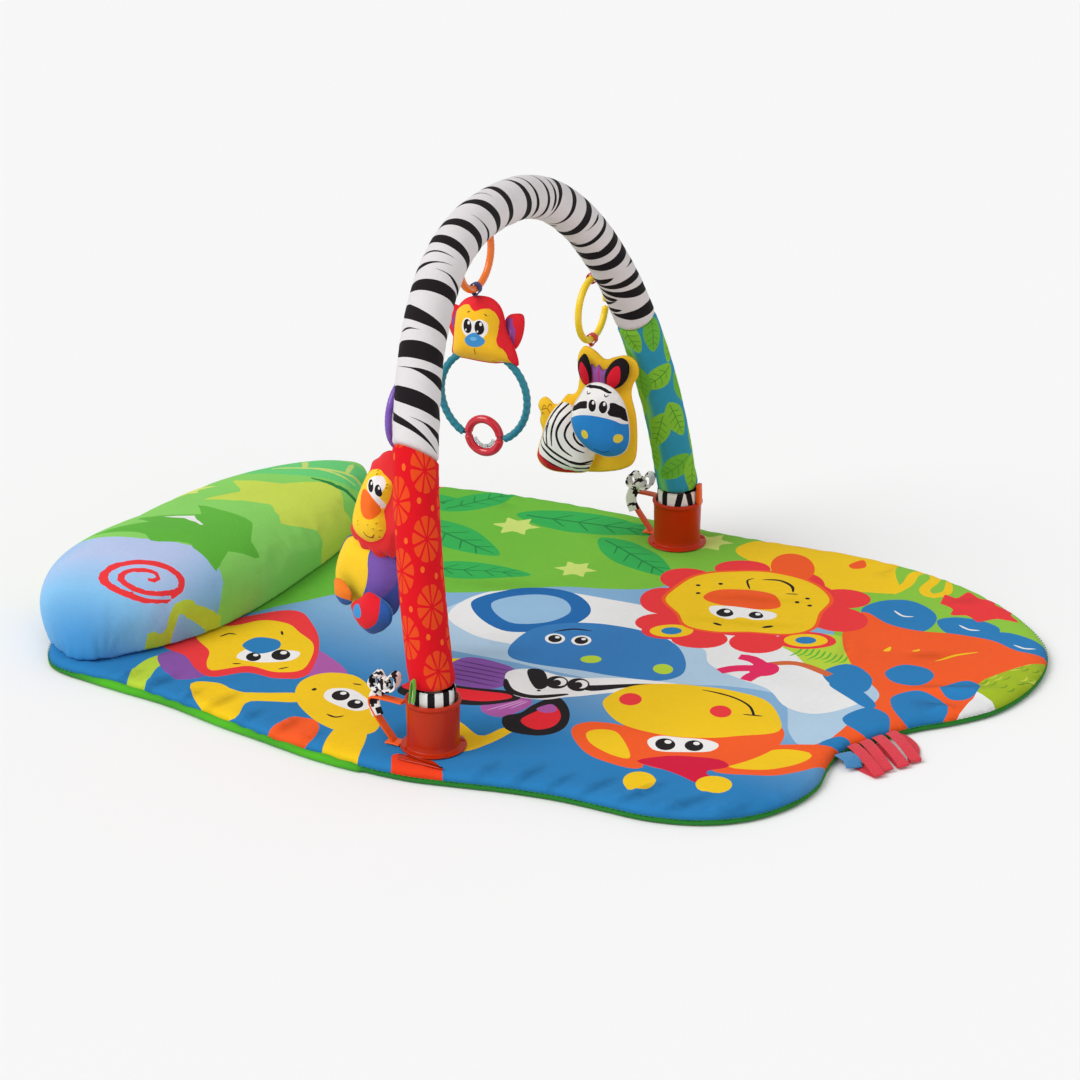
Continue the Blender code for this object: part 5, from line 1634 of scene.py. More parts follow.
def marked_cloth(obj, seed, size=0.0042, level=0.10):
    """White cloth with black brush marks, as face colours of a piece that has no flat print."""
    mesh = obj.data
    layer = mesh.color_attributes.new("Print", "FLOAT_COLOR", "CORNER")
    for face in mesh.polygons:
        c = face.center
        dark = noise.noise(Vector((c.x / size, c.y / size, c.z / size * 0.6 + seed))) > level
        for index in face.loop_indices:
            layer.data[index].color = (*(BLACK if dark else WHITE), 1.0)


def build_bow(side, word):
    """The checked cloth tie on the strap: a knot, two loops and a tail."""
    low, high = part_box(f"cloth_bow_{word}")
    middle = (low + high) / 2
    loops = []
    for k, (dx, dz) in enumerate(((-1, 0.25), (1, 0.45))):
        line = [middle + Vector((0, 0, -0.002)), middle + Vector((dx * 0.006, 0.002, 0.005 + dz * 0.006)),
                middle + Vector((dx * 0.0115, 0.003, 0.003 + dz * 0.009)),
                middle + Vector((dx * 0.0120, -0.001, -0.003 + dz * 0.004)),
                middle + Vector((dx * 0.006, -0.003, -0.0045)), middle + Vector((0, -0.001, -0.003))]
        loops.append(rounded_bar(f"bow_loop_{word}_{k + 1}", line, 0.0105, 0.0022, (0.1, 1, 0.25), CHECKED,
                                 0.6))
    tail = [middle + Vector((-0.001, -0.002, -0.004)), middle + Vector((-0.006, -0.004, -0.010)),
            middle + Vector((-0.0075, -0.006, -0.019)), middle + Vector((-0.0035, -0.0065, -0.030))]
    loops.append(rounded_bar(f"bow_tail_{word}", tail, 0.0110, 0.0017, (1, 0.25, 0.15), CHECKED, 0.6))
    bm = bmesh.new()
    bmesh.ops.create_icosphere(bm, subdivisions=4, radius=1.0)
    for v in bm.verts:
        fold = 1 + 0.14 * math.sin(5 * math.atan2(v.co.z, v.co.x)) * (1 - v.co.y ** 2)
        v.co = middle + Vector((v.co.x * 0.0062 * fold, v.co.y * 0.0075, v.co.z * 0.0072 * fold - 0.002))
    knot = object_from(bm, f"bow_knot_{word}", CHECKED)
    for number, piece in enumerate([knot] + loops):
        marked_cloth(piece, seed=number * 3.7 + side)
        add_piece(piece, "mat", [f"cloth_bow_{word}"])


# ---------------------------------------------------------------- stuffed toys

TOY_SPACING = 0.0024                    # how far apart a toy's print has its points
SEAM_R = 0.00055


class Panel:
    """A flat plane that a toy's pieces are cut in: its place, its right and up directions, and its front."""

    def __init__(self, place, turn=0.0):
        self.place = Vector(place)
        self.right = Vector((math.cos(turn), math.sin(turn), 0))
        self.front = Vector((math.sin(turn), -math.cos(turn), 0))

    def world(self, flat, height, lift=0.0):
        """World points from flat (x, y) in metres and each one's height in front of the plane."""
        flat = np.asarray(flat, float)
        height = np.asarray(height, float) + lift
        across, up = flat[:, :1] * np.array(self.right), flat[:, 1:2] * np.array((0, 0, 1.0))
        return np.array(self.place) + across + up + height[:, None] * np.array(self.front)


def mm(points):
    """Points written in millimetres, as metres."""
    return [(x / 1000, y / 1000) for x, y in points]


def toy_print(outline, ground):
    """Flat cloth for a toy's piece, from an outline in millimetres."""
    return Print(rounded(mm(outline), step=TOY_SPACING), ground, TOY_SPACING)


def puffed(flat, tris, outline, reach, passes=14):
    """A share from 0 at the seam to 1 over the middle, like a stuffed cover."""
    gap, _ = edge_distance(flat, outline)
    share = np.clip(gap / reach, 0, 1)
    height = np.sqrt(1 - (1 - share) ** 2)
    rim = np.unique(np.array(rim_edges(tris)).ravel())
    edges = np.vstack([tris[:, [0, 1]], tris[:, [1, 2]], tris[:, [2, 0]]])
    edges = np.vstack([edges, edges[:, ::-1]])
    near = 1 / np.maximum(np.linalg.norm(flat[edges[:, 0]] - flat[edges[:, 1]], axis=1), 2e-4)
    weight = np.zeros(len(flat))
    np.add.at(weight, edges[:, 0], near)
    for _ in range(passes):
        total = np.zeros(len(flat))
        np.add.at(total, edges[:, 0], near * height[edges[:, 1]])
        height = height * 0.4 + total / weight * 0.6
        height[rim] = 0
    return height / max(height.max(), 1e-9)


def stuffed(name, art, panel, lift, front, back, reach, material, back_paint, cap):
    """A toy's piece: a printed front and a back cut alike, sewn round and stuffed."""
    flat, tris, colours = art.triangles()
    share = puffed(flat, tris, art.outline, reach)
    high = panel.world(flat, share * front, lift)
    low = panel.world(flat, -share * back, lift)
    rim = np.unique(np.array(rim_edges(tris)).ravel())
    inner = np.setdiff1d(np.arange(len(flat)), rim)
    below = np.arange(len(flat))
    below[inner] = len(flat) + np.arange(len(inner))
    faces = np.vstack([tris, below[tris][:, ::-1]])
    if back_paint is None:
        rear = colours[:, ::-1]
    else:
        corner = flat[tris][:, ::-1]
        rear = np.zeros_like(colours)
        rear[:] = art.paint(back_paint, corner)
    points = np.vstack([high, low[inner]])
    paint = np.vstack([colours.reshape(-1, 3), rear.reshape(-1, 3)])
    obj = mesh_object(name, points, faces, material, paint)
    return wadding_pressure(obj, cap=cap, frames=10)


def seam(name, art, panel, lift, colour):
    """The raised seam round a stuffed piece."""
    flat = art.outline
    points = panel.world(flat, np.zeros(len(flat)), lift)
    obj = tube_along(name, points, SEAM_R, TOY_CLOTH, closed=True, sides=8)
    layer = obj.data.color_attributes.new("Print", "FLOAT_COLOR", "CORNER")
    for item in layer.data:
        item.color = (*colour, 1.0)
    return obj


def tube_along(name, points, radius, material, closed=False, sides=14, normal=None):
    """A round tube along a 3-D line; radius may be a list with one value for each point."""
    points = np.asarray(points, float)
    count = len(points)
    radius = np.full(count, radius) if np.isscalar(radius) else np.asarray(radius)
    if closed:
        tangent = np.roll(points, -1, axis=0) - np.roll(points, 1, axis=0)
    else:
        tangent = np.gradient(points, axis=0)
    tangent /= np.linalg.norm(tangent, axis=1)[:, None]
    first = np.array(normal if normal is not None else (1.0, 0, 0))
    if normal is None and abs(tangent[0] @ first) > 0.8:
        first = np.array((0, 0, 1.0))
    sections, side = [], first
    for p, t, r in zip(points, tangent, radius):
        side = side - t * (t @ side)
        side /= np.linalg.norm(side)
        other = np.cross(t, side)
        sections.append([p + r * (side * math.cos(a) + other * math.sin(a))
                         for a in (2 * math.pi * k / sides for k in range(sides))])
    return swept(name, sections, material, closed=closed)


def rounded_ends(count, spacing, radius):
    """Shares of a bar's radius near its two ends, so that they are rounded off."""
    reach = np.minimum(np.arange(count), np.arange(count)[::-1]) * spacing
    inside_end = np.clip(reach / radius, 0.0, 1.0)
    return np.sqrt(np.clip(1 - (1 - inside_end) ** 2, 0.06, 1))


RING_CENTRES = {
    "monkey": Vector((-0.094, 0.004, 0.380)),
    "zebra": Vector((-0.072, 0.2095, 0.2695)),
    "lion": Vector((-0.072, -0.174, 0.2890)),
}
RING_R, RING_BAR = 0.0315, 0.0035       # a split ring's radius, and its bar's
RING_SLIT = 0.0017                      # half the gap between its ends


def split_ring(toy, material, split):
    """A toy's C-shaped split ring in the arch's plane, with fine ribs and rounded ends."""
    slit = RING_SLIT / RING_R
    count = 190
    angles = np.linspace(split + slit, split + 2 * math.pi - slit, count)
    points = [RING_CENTRES[toy] + Vector((0, math.cos(a), math.sin(a))) * RING_R for a in angles]
    spacing = RING_R * (angles[1] - angles[0])
    ribs = 1 + 0.055 * np.sin(angles * 26) ** 2
    ends = rounded_ends(count, spacing, RING_BAR * 0.8)
    ring = tube_along(f"{toy}_split_ring", points, RING_BAR * 0.97 * ribs * ends, material, sides=18,
                      normal=(1, 0, 0))
    add_piece(ring, f"{toy}_link", [f"{toy}_ring"])


WEBBING_R = 0.0051                      # a webbing loop's radius round the ring's bar


def webbing_loop(name, node, body, material, hole, down, reach):
    """A webbing loop round a split ring's bar, pressed flat where its two ends are sewn together."""
    low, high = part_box(node)
    width = (high.y - low.y) * 0.96
    radius = WEBBING_R
    line = []
    for i in range(25):
        a = math.radians(-38) + math.radians(256) * i / 24
        line.append((radius * math.cos(a), radius * math.sin(a)))
    end = reach - 0.0004
    neck = -radius - 0.0010
    line = [(0.0007, -end), (0.0009, neck)] + line + [(-0.0009, neck), (-0.0007, -end)]
    angle = math.atan2(down.z, down.x) + math.pi / 2
    points = []
    for x, z in line:
        points.append(hole + Vector((x * math.cos(angle) - z * math.sin(angle), 0,
                                     x * math.sin(angle) + z * math.cos(angle))))
    band = rounded_bar(name, points, width, 0.0011, (0, 1, 0), material, 0.3)
    add_piece(band, body, [node])


def build_links():
    """The three split rings, and the webbing loops above and below each."""
    links = [
        ("monkey", 25, LINK_ORANGE, "link_orange", NAVY_WEBBING, "navy_webbing"),
        ("zebra", -8, LINK_YELLOW, "yellow_plastic", RED_LOOP, "red_cloth"),
        ("lion", 0, LINK_PURPLE, "purple_plastic", RED_LOOP, "red_cloth"),
    ]
    for toy, split, material, slot, webbing, cloth_slot in links:
        centre = RING_CENTRES[toy]
        split_ring(toy, material, math.radians(split))
        top, bottom = centre + Vector((0, 0, RING_R)), centre - Vector((0, 0, RING_R))
        webbing_loop(f"{toy}_toy_webbing", f"{toy}_loop", toy, webbing, bottom,
                     Vector((0, 0, -1)), bottom.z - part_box(f"{toy}_loop")[0].z)
        nearest = min(ARCH.points, key=lambda p: abs(p[1] - top.y) + 3 * abs(p[2] - top.z) * (p[2] < top.z))
        towards = Vector((nearest[0] - top.x, 0, nearest[2] - top.z))
        webbing_loop(f"{toy}_arch_webbing", f"arch_loop_{toy}", "arch", webbing, top,
                     towards.normalized(), max(towards.length - SLEEVE_R + 0.001, 0.0085))


# ---------------------------------------------------------------- the monkey and its rattle

HOOP_CENTRE = Vector((-0.086, 0.004, 0.2433))
HOOP_R = 0.0455
RATTLE_R = 0.0165
RATTLE_BAR = 0.0040


def build_monkey():
    """The monkey's stuffed head and its two ears."""
    panel = Panel((HOOP_CENTRE.x, HOOP_CENTRE.y, 0.3085))
    head = toy_print([
        (-3.5, 33), (-13.5, 30.5), (-21.5, 25), (-28, 15), (-30.5, -0.5), (-32, -17), (-33, -26.5),
        (-28.5, -30), (-18, -30.5), (-2, -31), (12, -30.5), (22, -28.5), (31, -29.5), (36.5, -28.5),
        (34, -17), (28.5, -6), (23.5, 4.5), (22, 15), (17.5, 26), (8.5, 32.5)], RED)
    head.blob(mm([(-45, -10), (-33, 8), (-27, 16), (-20.5, 22), (-14, 25.5), (-8, 25.5), (-2, 22.5),
                  (4.5, 25), (11, 25), (16.5, 20.5), (19, 14), (19.5, 6), (19, -1), (20.5, -7.5),
                  (25.5, -13), (29, -20), (30, -40), (-10, -50), (-45, -40)]), linear(250, 196, 40))
    head.blob(mm([(-14, 8.5), (-12, 14), (-7, 16.3), (-1.5, 13.8), (4, 16.3), (10.2, 14.5), (12.5, 8.5),
                  (10.5, 1.5), (3, -4), (-4, -3.5), (-10, -0.5), (-13.2, 3.5)]), WHITE)
    head.blob(mm([(-10.5, -4.5), (-5, 1.0), (1.0, 3.2), (6.5, 0), (10.2, -3.4), (8, -8), (0, -11.2),
                  (-8, -10)]), linear(66, 150, 214))
    head.oval((-0.0010, -0.0030), (0.0034, 0.0020), linear(112, 190, 232), 8)
    for x in (-7.4, 4.6):
        head.oval((x / 1000, 0.0084), (0.0046, 0.0068), BLACK, 4)
        head.oval((x / 1000 + 0.0013, 0.0120), (0.0013, 0.0017), WHITE)
        head.oval((x / 1000 - 0.0016, 0.0046), (0.0008, 0.0011), WHITE)
    for line in ([(-9.4, 20.6), (-6.4, 22.2)], [(8.2, 21.6), (10.8, 19.8)], [(-0.5, -12.5), (-0.4, -18.5)],
                 [(13.2, -25.5), (15.2, -28.4)], [(15.6, -23.6), (17.0, -26.0)]):
        head.brush(mm(line), 0.0009, linear(92, 60, 20), (0.6, 0.6))
    piece = stuffed("monkey_head_plush", head, panel, 0.0, 0.0185, 0.0165, 0.026, TOY_PLUSH, RED, cap=0.0014)
    add_piece(piece, "monkey", ["monkey_head"])
    add_piece(seam("monkey_head_seam", head, panel, 0.0, RED), "monkey")
    ear = [(19, 10), (23, 16), (29, 18.5), (37.5, 19), (39.5, 12), (38.2, 0.5), (34.5, -10), (29, -17),
           (23, -13), (18, -2.5)]
    inner = [(17, 9), (27, 14.5), (29, 8.5), (31.3, 3), (30, -6), (28, -14.5), (22.5, -11), (17, -0.5)]
    for side, word in ((1, "right"), (-1, "left")):

        def placed(points):
            turned = [(x if side > 0 else -4 - x, y) for x, y in points]
            return turned if side > 0 else turned[::-1]

        art = toy_print(placed(ear), RED)
        art.blob(mm(placed(inner)), linear(150, 84, 172))
        art.brush(mm(placed([(24, 6), (26.5, 1), (25, -7)])), 0.0016, linear(190, 118, 196), (0.3, 0.3))
        piece = stuffed(f"monkey_ear_{word}_plush", art, panel, -0.0075, 0.0042, 0.0036, 0.008, TOY_PLUSH,
                        RED, cap=0.0008)
        add_piece(piece, "monkey", [f"monkey_ear_{word}"])


def build_rattle():
    """The ribbed teal hoop below the head, and the red ring that spins on its two ends."""
    start = math.asin((RATTLE_R + RATTLE_BAR + 0.0010) / HOOP_R)
    stop = math.radians(150)
    count = 260
    for side, word in ((-1, "left"), (1, "right")):
        angles = np.linspace(start, stop, count)
        points = [HOOP_CENTRE + Vector((side * math.sin(a), 0, -math.cos(a))) * HOOP_R for a in angles]
        ribs = 1 + 0.13 * (0.5 + 0.5 * np.sin(angles * 42)) ** 1.5
        ends = rounded_ends(count, HOOP_R * (angles[1] - angles[0]), 0.0014)
        hoop = tube_along(f"teal_hoop_{word}", points, 0.0034 * ribs * ends, TEAL_PLASTIC, sides=18,
                          normal=(0, 1, 0))
        add_piece(hoop, "monkey", [f"monkey_hoop_{word}"])
        z = HOOP_CENTRE.z - HOOP_R * math.cos(start)
        reaches = (RATTLE_R - 0.001, 0.019, 0.0218)
        pin = [Vector((HOOP_CENTRE.x + side * r, HOOP_CENTRE.y, z)) for r in reaches]
        stub = tube_along(f"hoop_pin_{word}", pin, 0.00115, TEAL_PLASTIC, sides=12, normal=(0, 1, 0))
        add_piece(stub, "monkey")
    centre = Vector((HOOP_CENTRE.x, HOOP_CENTRE.y, HOOP_CENTRE.z - HOOP_R * math.cos(start)))
    count = 160
    for half, word in ((0, "upper"), (1, "lower")):     # moulded in two halves, with a groove at each pin
        angles = np.linspace(math.radians(6) + half * math.pi, math.radians(174) + half * math.pi, count)
        points = [centre + Vector((math.cos(a), 0, math.sin(a))) * RATTLE_R for a in angles]
        ends = rounded_ends(count, RATTLE_R * (angles[1] - angles[0]), 0.0012)
        arc = tube_along(f"rattle_{word}_half", points, RATTLE_BAR * (0.55 + 0.45 * ends), RATTLE_PLASTIC,
                         sides=28, normal=(0, 1, 0))
        add_piece(arc, "rattle", ["rattle_ring"])
    collar = [centre + Vector((math.cos(a), 0, math.sin(a))) * RATTLE_R
              for a in np.linspace(0, 2 * math.pi, 97)[:-1]]
    add_piece(tube_along("rattle_core", collar, RATTLE_BAR * 0.78, RATTLE_PLASTIC, closed=True, sides=20,
                         normal=(0, 1, 0)), "rattle")


# ---------------------------------------------------------------- the zebra toy

def build_zebra():
    """The stuffed zebra on its yellow felt: body, mane, ears and head."""
    ring = RING_CENTRES["zebra"]
    panel = Panel((ring.x, ring.y, 0.0))
    yellow = linear(255, 204, 50)
    felt = toy_print([
        (-8, 229), (-14.5, 222), (-17, 211), (-15, 196), (-17, 181), (-22, 175.5), (-28, 174.5),
        (-33, 168.5), (-37, 163), (-43, 161.5), (-47.5, 165.5), (-53, 167.5), (-59, 163), (-61, 156),
        (-58, 149), (-59, 140), (-56, 130), (-60, 112), (-59, 100), (-48, 94.5), (-22, 93), (0, 95),
        (16, 98), (34, 104), (46, 113), (50, 130), (49, 161), (43.5, 184), (45, 196), (51, 208),
        (48.5, 220.5), (38, 225.8), (25, 222.5), (14, 218.5), (3, 225.5)], yellow)
    for x, z in ((-53, 158), (-47, 160), (-41, 155), (-55, 150)):
        felt.brush(mm([(x - 2, z - 3), (x, z + 1), (x + 2.4, z - 1)]), 0.0009, linear(176, 110, 20),
                   (0.5, 0.5))
    felt.brush(mm([(-57, 153), (-50, 156), (-46, 151)]), 0.0012, linear(186, 120, 30), (0.5, 0.5))
    piece = stuffed("zebra_felt", felt, panel, -0.0024, 0.0021, 0.0018, 0.0035, TOY_CLOTH, yellow, cap=0.0004)
    add_piece(piece, "zebra", ["zebra_backing"])

    body = toy_print([
        (-29, 168.5), (-38, 160.5), (-46, 147), (-51, 131.5), (-56, 114), (-57, 105), (-51.5, 97),
        (-40, 93), (-22, 94), (-3, 98), (3, 106), (8, 124), (0, 147), (-10, 160),
        (-21, 168)], linear(240, 236, 234))
    for points, width in (
            ([(-18, 172), (-30, 158), (-36, 140), (-35, 124)], 2.4),
            ([(-26, 172), (-39, 154), (-46, 136)], 2.0),
            ([(-14, 166), (-25, 152), (-30, 138), (-24, 124), (-12, 117)], 2.7),
            ([(-12, 158), (-19, 146), (-20, 136), (-12, 127), (0, 122)], 2.5),
            ([(-8, 149), (-11, 140), (-6, 132), (4, 127)], 2.2),
            ([(-40, 148), (-43, 136), (-40, 122)], 1.8),
            ([(-52, 134), (-45, 126), (-30, 117), (-12, 110), (4, 108)], 2.5),
            ([(-55, 124), (-44, 118), (-30, 110), (-14, 104)], 2.6),
            ([(-57, 114), (-45, 109), (-32, 103), (-20, 99)], 2.4),
            ([(-16, 112), (-4, 110), (8, 112)], 2.2), ([(-14, 105), (-2, 103), (6, 104)], 2.3),
            ([(-12, 98.5), (-2, 97), (6, 98)], 2.2)):
        body.brush(mm(points), width / 1000, BLACK, (0.15, 0.25))
    body.blob(mm([(-62, 119), (-55, 115), (-46, 110), (-36, 104), (-24, 100.5), (-12, 98), (-10, 88),
                  (-40, 84), (-64, 96)]), linear(222, 32, 52))
    body.blob(mm([(-51, 110), (-46, 107), (-42, 99), (-48, 97), (-54, 102)]), linear(236, 70, 70))
    piece = stuffed("zebra_body_plush", body, panel, 0.0060, 0.0125, 0.0060, 0.016, TOY_CLOTH, yellow,
                    cap=0.0012)
    add_piece(piece, "zebra", ["zebra_body"])
    add_piece(seam("zebra_body_seam", body, panel, 0.0060, yellow), "zebra")

    mane = toy_print([(0, 192), (-2.5, 204), (1, 213), (6, 209.5), (9.5, 214), (14, 208), (19, 210.5),
                      (22, 200), (20, 190), (10, 186)], linear(150, 92, 168))
    for points in ([(4, 188), (3, 200), (1.5, 210)], [(11, 188), (10.5, 200), (9.5, 211)],
                   [(17, 190), (17.5, 205)]):
        mane.brush(mm(points), 0.0020, linear(206, 50, 120), (0.5, 0.2))
    piece = stuffed("zebra_mane_cloth", mane, panel, 0.0030, 0.0022, 0.0016, 0.006, TOY_CLOTH, None,
                    cap=0.0005)
    add_piece(piece, "zebra", ["zebra_head"])
    for word, outer, inner in (
            ("left", [(-5.5, 223.5), (-12, 214), (-11.5, 202), (-5.5, 191), (2, 193), (2.5, 207),
                      (-0.8, 219.5)],
             [(-7, 215.5), (-9.8, 208), (-8, 197), (-3, 188), (0.5, 194), (-1, 208)]),
            ("right", [(20, 191), (17.5, 205), (25, 219), (36, 225.5), (43.8, 219.5), (42.5, 205.5),
                       (33, 194)],
             [(22, 189), (20.5, 201), (26.5, 213), (34, 217.5), (36.2, 210), (33.5, 199)])):
        art = toy_print(outer, BLACK)
        art.blob(mm(inner), linear(224, 32, 54))
        piece = stuffed(f"zebra_ear_{word}_plush", art, panel, 0.0062, 0.0042, 0.0028, 0.007, TOY_CLOTH,
                        BLACK, cap=0.0007)
        add_piece(piece, "zebra", [f"zebra_ear_{word}"])

    head = toy_print([
        (7, 198), (0, 187), (-7.5, 174), (-10, 159), (-5, 144), (6, 133), (17, 128.5), (31, 127), (45, 132),
        (52.5, 142), (54, 158), (50.5, 178), (43.5, 192), (34, 200), (20, 203)], linear(242, 240, 238))
    head.blob(mm([(-20, 156), (-9, 162), (0, 168.5), (12, 172.5), (26, 173.5), (40, 171.5), (50, 166),
                  (64, 160), (66, 110), (20, 100), (-20, 120)]), linear(44, 136, 210))
    head.blob(mm([(-12, 171), (-5, 176), (3, 182.5), (13.5, 186.8), (13.5, 180), (5, 177), (-4, 171.5),
                  (-12, 167)]), BLACK)
    head.blob(mm([(37.5, 188), (45, 184.5), (51, 179), (57, 172), (53, 167.5), (46, 173), (36.5, 177)]),
              BLACK)
    head.oval((0.0195, 0.1838), (0.0062, 0.0078), WHITE)
    head.oval((0.0312, 0.1842), (0.0062, 0.0078), WHITE)
    for x in (19.6, 31.2):
        head.oval((x / 1000, 0.1836), (0.0043, 0.0061), BLACK)
        head.oval((x / 1000 + 0.0010, 0.1868), (0.0013, 0.0018), WHITE)
    head.brush(mm([(3, 196.5), (12, 199.2), (24, 199.6), (36, 196.5)]), 0.0024, BLACK, (0.4, 0.4))
    head.brush(mm([(11, 195.5), (13, 193.5), (15.5, 195)]), 0.0011, BLACK, (0.5, 0.5))
    head.brush(mm([(30, 195.5), (32.5, 193.5), (34.5, 195)]), 0.0011, BLACK, (0.5, 0.5))
    head.oval((0.0115, 0.1520), (0.0040, 0.0048), linear(236, 214, 70), 10)
    head.oval((0.0460, 0.1520), (0.0040, 0.0048), linear(236, 214, 70), -10)
    head.brush(mm([(20, 137.5), (30, 135.2), (38, 138)]), 0.0011, linear(16, 70, 130), (0.4, 0.4))
    piece = stuffed("zebra_head_plush", head, panel, 0.0255, 0.0150, 0.0130, 0.024, TOY_CLOTH,
                    linear(242, 240, 238), cap=0.0014)
    add_piece(piece, "zebra", ["zebra_head"])
    thread = linear(226, 222, 222)
    add_piece(seam("zebra_head_seam", head, panel, 0.0255, thread), "zebra")


# ---------------------------------------------------------------- the lion toy

def build_lion():
    """The stuffed lion, turned a little towards the head end: mane, body, feet and head."""
    turn = math.radians(-18)
    ring, shift = RING_CENTRES["lion"], 0.0025
    panel = Panel((ring.x, ring.y, 0.0), turn)
    raised = Panel((ring.x + shift * math.cos(turn), ring.y + shift * math.sin(turn), 0.0020), turn)
    yellow = linear(252, 208, 40)
    back = linear(84, 78, 160)
    mane = toy_print([
        (-3, 255), (-14, 250.5), (-21, 244), (-30, 237), (-34, 227), (-40, 219), (-41, 209), (-46, 201),
        (-46, 191), (-52, 182), (-54, 173), (-60, 168), (-61, 159), (-55, 153), (-50, 155.5), (-48, 147),
        (-39, 143.5), (-32, 148), (-28, 143.5), (-19, 142.5), (-12, 149), (-4, 149), (2, 156), (7, 164),
        (9, 172), (17, 176), (20, 186), (26, 193), (25.5, 204), (30, 213), (26.5, 223), (27, 233),
        (20, 239), (17, 249), (7, 250)], linear(230, 44, 48))
    piece = stuffed("lion_mane_plush", mane, raised, 0.0165, 0.0075, 0.0070, 0.011, TOY_PLUSH, RED,
                    cap=0.0010)
    add_piece(piece, "lion", ["lion_mane"])

    body = toy_print([
        (-66, 153), (-77, 140), (-84, 119), (-83, 103), (-73, 92), (-59, 85), (-41, 83), (-21, 85),
        (-6, 96), (0, 113), (0, 135), (-6, 150), (-19, 158), (-43, 159)], linear(72, 92, 176))
    body.blob(mm([(-25, 163), (-27, 143), (-29, 129), (-27, 113), (-15, 109), (-3, 123), (-1, 143),
                  (-9, 161)]), linear(122, 88, 176))
    body.blob(mm([(-101, 143), (-87, 165), (-51, 165), (-32, 157), (-28, 143), (-27, 131), (-31, 115),
                  (-41, 99), (-57, 86), (-71, 77), (-103, 89)]), yellow)
    piece = stuffed("lion_body_plush", body, panel, 0.0100, 0.0150, 0.0130, 0.020, TOY_PLUSH, back,
                    cap=0.0014)
    add_piece(piece, "lion", ["lion_body"])
    add_piece(seam("lion_body_seam", body, panel, 0.0100, back), "lion")

    foot = toy_print([(-39, 99), (-35, 105), (-27, 111), (-14, 121), (2, 119), (13, 114), (16, 102), (7, 91),
                      (-2, 84.5), (-12, 80), (-23, 82), (-34, 91)], linear(46, 92, 170))
    foot.blob(mm([(-48, 98), (-38, 110), (-27, 115), (-14, 125), (0, 120), (6, 110), (4, 100), (-3, 92.5),
                  (-13, 86.5), (-23, 87), (-33, 94)]), linear(226, 30, 44))
    foot.oval((-0.0225, 0.1015), (0.0070, 0.0064), linear(60, 150, 214), 10)
    piece = stuffed("lion_foot_right_plush", foot, panel, 0.0360, 0.0090, 0.0120, 0.013, TOY_PLUSH, BLUE,
                    cap=0.0010)
    add_piece(piece, "lion", ["lion_foot_right"])
    foot = toy_print([(-63, 118), (-52, 121), (-40, 113), (-39, 103), (-46, 97.5), (-55, 97), (-61, 104)],
                     linear(50, 104, 180))
    foot.blob(mm([(-70, 112), (-61, 106.5), (-52, 107.5), (-44, 105.5), (-32, 103), (-36, 130), (-66, 130)]),
              linear(240, 130, 40))
    piece = stuffed("lion_foot_left_plush", foot, panel, 0.0340, 0.0075, 0.0065, 0.009, TOY_PLUSH, BLUE,
                    cap=0.0008)
    add_piece(piece, "lion", ["lion_foot_left"])

    head = toy_print([
        (-14, 238), (-23, 235), (-30, 228), (-36, 218), (-43, 205), (-49, 189), (-51.5, 173), (-44, 162.5),
        (-32, 158.5), (-20, 160.5), (-8, 169), (-1.5, 181), (-1, 190), (-3, 197), (2, 205), (7, 217),
        (6, 230), (-3, 237)], yellow)
    head.blob(mm([(-16, 229), (-19, 222), (-15, 214), (-9, 207), (-5, 201), (-2, 206), (-3.5, 214),
                  (1, 224), (-1, 230), (-8, 232.5)]), WHITE)
    for x, z in ((-13.6, 222.6), (-4.6, 220.2)):
        head.oval((x / 1000, z / 1000), (0.0036, 0.0058), BLACK, 8)
        head.oval((x / 1000 + 0.0009, z / 1000 + 0.0028), (0.0011, 0.0015), WHITE)
    head.blob(mm([(-27.5, 213), (-23, 216.8), (-16, 216.2), (-9, 209.5), (-6, 201), (-9, 193.5), (-16, 189.5),
                  (-23.5, 190.5), (-27.5, 197), (-28.5, 205)]), linear(250, 112, 30))
    head.brush(mm([(-24.5, 175.5), (-21.5, 171.0), (-17, 170.4), (-13, 175.0)]), 0.0016, linear(150, 92, 20),
               (0.4, 0.4))
    for x, z in ((-12, 236), (-10.5, 233.6), (2.5, 227), (2.2, 224), (-31, 184), (-31, 180.5), (-18, 184),
                 (-9, 187), (-12.5, 181), (-7, 180), (-10, 172)):
        head.oval((x / 1000, z / 1000), 0.00075, linear(168, 128, 20))
    piece = stuffed("lion_head_plush", head, raised, 0.0200, 0.0145, 0.0090, 0.019, TOY_PLUSH, RED,
                    cap=0.0014)
    add_piece(piece, "lion", ["lion_head"])
    add_piece(seam("lion_head_seam", head, raised, 0.0200, yellow), "lion")


# ---------------------------------------------------------------- sewn trims and hidden parts

def edge_behind(point, out, inside_by=0.003):
    """Where a line from a point, run back against a direction, has come just inside the mat's edge."""
    steps = np.arange(0, 0.06, 0.0005)[:, None]
    line = np.array([[point.x, point.y]]) - steps * np.array([[out.x, out.y]])
    within = inside(line, inset(EDGE, inside_by))
    return line[within.argmax()]


RIBBON_OUT = Vector((0.73, -0.683, 0)).normalized()     # where the foot end's ribbons point
RIBBON_SHIFT = (-0.0080, -0.0012, 0.0018, 0.0120)       # how far each lower leg lies to one side


